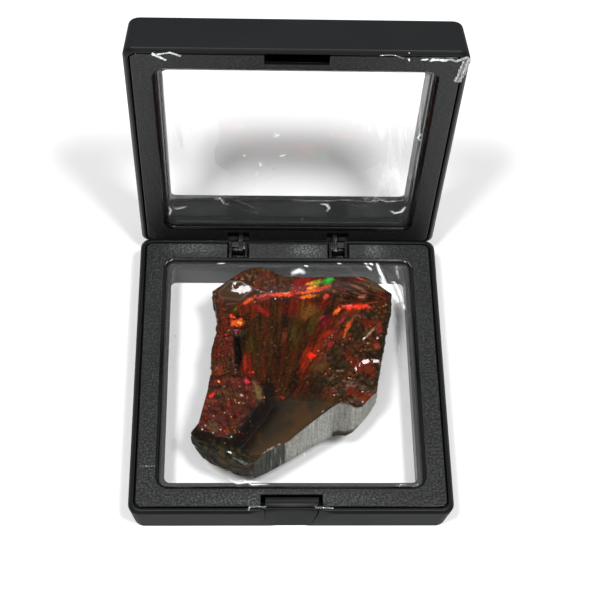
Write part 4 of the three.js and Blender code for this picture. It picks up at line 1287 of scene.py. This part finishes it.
def slab(foot, rim, columns, rows, layers):
    """The closed slab. Its upper side is a Coons patch: each point is the blend of the front
    and back rims plus the blend of the left and right rims, less the blend of the corners.
    Its sides are ruled from rim to foot, roughened where they are broken, and its underside
    runs from the foot to the middle. Returns the points, the faces, each point's place on the
    wall, which of the rim's points are over the sawn face, and the count of the upper points."""
    front, back, left, right = rim
    u = np.linspace(0, 1, columns)[None, :, None]
    v = np.linspace(0, 1, rows)[:, None, None]
    patch = mix(front[None], back[None], v) + mix(left[:, None], right[:, None], u)
    patch = patch - mix(mix(front[0], front[-1], u), mix(back[0], back[-1], u), v)
    x, y = patch[..., 0], patch[..., 1]
    top = np.stack([x, y, upper_height(x, y)], -1).reshape(-1, 3)

    order = loop_of(rows, columns)
    count = len(order)
    rim_points = top[order]
    foot_loop = np.concatenate([foot[0], foot[3][1:], foot[1][-2::-1], foot[2][-2:0:-1]])
    ahead = np.roll(foot_loop, -1, 0) - np.roll(foot_loop, 1, 0)
    outward = np.stack([ahead[:, 1], -ahead[:, 0]], -1)
    outward /= np.linalg.norm(outward, axis=1, keepdims=True)
    step = np.linalg.norm(np.roll(foot_loop, -1, 0) - foot_loop, axis=1)
    around = np.concatenate([[0], np.cumsum(step)[:-1]])
    is_sawn = np.zeros(count, bool)
    is_sawn[:columns] = foot_loop[:columns, 0] > SAWN_FROM
    is_sawn[columns:columns + int(rows * SAWN_RIGHT_SHARE)] = True
    underside = UNDERSIDE - film_sag(*foot_loop.T)

    rings = []
    for layer in range(1, layers + 1):
        t = layer / layers
        z = mix(rim_points[:, 2], underside, t)
        rough = 0.45 * rough_hills(around / 2.2, z / 1.3, 4, 101) * math.sin(math.pi * min(t, 0.9))
        rough = np.where(is_sawn, 0.02 * hills(around / 0.5, z / 9, 103), rough)
        undercut = np.where(is_sawn, -0.25 * soft_step(0.85, 1, t), -0.8 * soft_step(0.6, 1, t) ** 2)
        flat = mix(rim_points[:, :2], foot_loop, t) + outward * (rough + undercut)[:, None]
        rings.append(np.c_[flat, z])
    wall_place = np.zeros((len(top) + (layers + UNDERSIDE_RINGS) * count + 1, 3))
    wall_place[order] = np.c_[around, rim_points[:, 2], 0 * around]
    wall_place[len(top):len(top) + layers * count] = np.concatenate(
        [np.c_[around, ring[:, 2], 0 * around] for ring in rings])
    last_wall = rings[-1][:, :2]
    for ring in range(1, UNDERSIDE_RINGS + 1):
        flat = mix(last_wall, 0, ring / (UNDERSIDE_RINGS + 1))
        rings.append(np.c_[flat, UNDERSIDE - film_sag(*flat.T)])
    points = np.concatenate([top, *rings, [[0, 0, UNDERSIDE - FILM_SAG]]])

    loops = [order] + [len(top) + k * count + np.arange(count) for k in range(len(rings))]
    faces = [grid_faces(rows, columns)]
    for upper, lower in zip(loops, loops[1:]):
        faces.append(np.stack([upper, lower, np.roll(lower, -1), np.roll(upper, -1)], -1))
    nearest, middle, farthest = (np.roll(loops[-1], -shift)[::2] for shift in range(3))
    hub = np.full(len(nearest), len(points) - 1)
    faces.append(np.stack([nearest, hub, farthest, middle], -1))
    return points, np.concatenate(faces), wall_place, is_sawn, len(top)


def face_kinds(faces, rows, columns, layers, is_sawn):
    """Material number of each face: shell above, sawn face in front, raw shale elsewhere."""
    numbers = np.full(len(faces), RAW, np.int32)
    top = (rows - 1) * (columns - 1)
    numbers[:top] = SHELL
    wall = np.where(is_sawn & np.roll(is_sawn, -1), SAWN, RAW)
    numbers[top:top + layers * len(wall)] = np.tile(wall, layers)
    return numbers


class StoneSettings(bpy.types.PropertyGroup):
    columns: bpy.props.IntProperty(
        name="Columns", description="Grid lines from left to right", default=250, min=40, max=400)
    rows: bpy.props.IntProperty(
        name="Rows", description="Grid lines from front to back", default=220, min=40, max=400)
    layers: bpy.props.IntProperty(
        name="Side layers", description="Rows of faces down the sides", default=14, min=4, max=40)
    fire: bpy.props.FloatProperty(
        name="Fire", description="Brightness of the colour flashes", default=0.75, min=0, max=1.5)


class AMMOLITE_OT_specimen(bpy.types.Operator):
    """Draw the slab of ammolite with its sawn, broken and weathered sides"""
    bl_idname = "ammolite.specimen"
    bl_label = "Specimen"

    def execute(self, context):
        stone = settings().stone
        columns, rows, layers = stone.columns, stone.rows, stone.layers
        front, back = resample(FRONT_SIDE, columns), resample(BACK_SIDE, columns)
        left, right = resample(LEFT_SIDE, rows), resample(RIGHT_SIDE, rows)
        foot = [front[:, :2], back, left, right[:, :2]]
        rim = [front[:, 2:], back, left, right[:, 2:]]
        points, faces, wall_place, is_sawn, upper_count = slab(foot, rim, columns, rows, layers)
        piece = surface("ammolite_slab", points, faces)

        x, y, z = points[:, :1], points[:, 1:2], points[:, 2:]
        zone = regions(x, y)
        is_upper = (np.arange(len(points)) < upper_count)[:, None]
        tone = np.where(is_upper, upper_tone(x, y, zone), wall_tone(x, y, z))
        colour, strength = paint_flashes_and_light(x, y)
        smooth = np.maximum.reduce([zone["hollow"], zone["facet"], glint_share(x, y, 1.5, 1)])
        for name, values in (
            ("tone", np.c_[tone, np.ones(len(tone))]),
            ("flash_and_painted_light", np.c_[colour, np.where(is_upper, strength, 0)]),
            ("growth", np.c_[(*growth_place(x, y), 0 * x)]),
            ("wall", wall_place),
            ("matt", upper_roughness(x, y, zone)),
            ("sparkly", sparkle_share(x, y, zone)),
            ("streaky", 1 - smooth),
        ):
            add_attribute(piece, name, values)
        piece.data.materials.append(ammolite("ammolite_shell"))
        piece.data.materials.append(sawn_shale("sawn_shale"))
        piece.data.materials.append(raw_shale("raw_shale"))
        kinds = face_kinds(faces, rows, columns, layers, is_sawn)
        piece.data.polygons.foreach_set("material_index", kinds)
        piece.data.set_sharp_from_angle(angle=math.radians(SHARP_DEGREES))
        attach(piece, "base")
        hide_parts("ammolite_specimen")
        return {"FINISHED"}


# --- Stage, light and camera ---

CAMERA_PLACE = (-10.137, -148.466, 288.587)     # in the box's millimetres
CAMERA_PITCH = 59.134                           # degrees below level
CAMERA_YAW = 4.364
CAMERA_ROLL = 4.036
CAMERA_LENS = 83.886

LAMP_SIDE, LAMP_FRONT, LAMP_HEIGHT = 170, -157, 600   # one lamp stands at each side
LAMP_WIDTH = 110
LAMP_TARGET = (0, 0, 10)
FLOOR_HALF = 1500
FLOOR_LINES = 13


class StudioSettings(bpy.types.PropertyGroup):
    sky: bpy.props.FloatProperty(
        name="Sky", description="Brightness of the room all round", default=0.33, min=0, max=5)
    key_power: bpy.props.FloatProperty(
        name="Softbox power", description="Power of each lamp", default=2.8, min=0, max=100,
        subtype="POWER", unit="POWER")
    floor_colour: bpy.props.StringProperty(
        name="Floor colour", description="sRGB hex value of the floor", default="f2f2f2")


def camera_turn():
    """The camera's turn from its yaw, pitch and roll."""
    yaw, pitch, roll = (math.radians(a) for a in (CAMERA_YAW, CAMERA_PITCH, CAMERA_ROLL))
    ahead = Vector((
        math.sin(yaw) * math.cos(pitch), math.cos(yaw) * math.cos(pitch), -math.sin(pitch)))
    right = ahead.cross(Vector((0, 0, 1))).normalized()
    up = right.cross(ahead)
    turned_right = math.cos(roll) * right + math.sin(roll) * up
    turned_up = -math.sin(roll) * right + math.cos(roll) * up
    return Matrix((turned_right, turned_up, -ahead)).transposed().to_4x4()


def add_softbox(name, side, power):
    """A square area light over the box's front, to its left or right, that faces the box."""
    light = bpy.data.lights.new(name, "AREA")
    light.shape = "RECTANGLE"
    light.size = light.size_y = LAMP_WIDTH * MM
    light.energy = power
    lamp = put_in_scene(name, light)
    lamp.location = place((side * LAMP_SIDE, LAMP_FRONT, LAMP_HEIGHT))
    aim = Vector(place(LAMP_TARGET)) - lamp.location
    lamp.rotation_euler = aim.to_track_quat("-Z", "Y").to_euler()


class AMMOLITE_OT_studio(bpy.types.Operator):
    """Set up the floor, the soft light and the camera"""
    bl_idname = "ammolite.studio"
    bl_label = "Studio"

    def execute(self, context):
        studio = settings().studio
        scene = context.scene
        scene.view_settings.view_transform = "Standard"

        scene.world = bpy.data.worlds.new("Room")
        scene.world.use_nodes = True
        background = scene.world.node_tree.nodes["Background"]
        background.inputs["Color"].default_value = rgba("ffffff")
        background.inputs["Strength"].default_value = studio.sky

        steps = np.linspace(-FLOOR_HALF, FLOOR_HALF, FLOOR_LINES)
        x, y = np.meshgrid(steps, steps)
        points = np.stack([x, y, 0 * x], -1).reshape(-1, 3)
        floor = surface("floor", points, grid_faces(FLOOR_LINES, FLOOR_LINES))
        floor.data.materials.append(matt_paper("matt_paper", studio.floor_colour))

        add_softbox("left_lamp", -1, studio.key_power)
        add_softbox("right_lamp", 1, studio.key_power)

        lens = bpy.data.cameras.new("Camera")
        lens.lens = CAMERA_LENS
        lens.sensor_width = 36
        lens.clip_start = 0.01
        scene.camera = put_in_scene("Camera", lens)
        scene.camera.matrix_world = Matrix.Translation(place(CAMERA_PLACE)) @ camera_turn()
        return {"FINISHED"}


# --- Add-on ---

class BoxSettings(bpy.types.PropertyGroup):
    shell: bpy.props.PointerProperty(
        name="Shell", description="Shells and inner frames", type=ShellSettings)
    film: bpy.props.PointerProperty(
        name="Film", description="Stretch films", type=FilmSettings)
    stone: bpy.props.PointerProperty(
        name="Specimen", description="Slab of ammolite", type=StoneSettings)
    studio: bpy.props.PointerProperty(
        name="Studio", description="Floor, light and room", type=StudioSettings)


class AMMOLITE_PT_panel(bpy.types.Panel):
    bl_label = "Ammolite Specimen Box"
    bl_space_type = "VIEW_3D"
    bl_region_type = "UI"
    bl_category = "Ammolite"

    def draw(self, context):
        layout = self.layout
        for group in ("shell", "film", "stone", "studio"):
            values = getattr(settings(), group)
            column = layout.column(align=True)
            for name in values.__annotations__:
                column.prop(values, name)
        for operator in OPERATORS:
            layout.operator(operator.bl_idname)


OPERATORS = (
    AMMOLITE_OT_studio, AMMOLITE_OT_shells, AMMOLITE_OT_inner_frames, AMMOLITE_OT_films,
    AMMOLITE_OT_scraps, AMMOLITE_OT_specimen,
)
CLASSES = (
    ShellSettings, FilmSettings, StoneSettings, StudioSettings, BoxSettings, *OPERATORS,
    AMMOLITE_PT_panel,
)


def register():
    for item in CLASSES:
        bpy.utils.register_class(item)
    bpy.types.Scene.ammolite_box = bpy.props.PointerProperty(type=BoxSettings)


def unregister():
    del bpy.types.Scene.ammolite_box
    for item in reversed(CLASSES):
        bpy.utils.unregister_class(item)


def main():
    register()
    bpy.ops.ammolite.studio()
    bpy.ops.ammolite.shells()
    bpy.ops.ammolite.inner_frames()
    bpy.ops.ammolite.films()
    bpy.ops.ammolite.scraps()
    bpy.ops.ammolite.specimen()


if __name__ == "__main__":
    main()
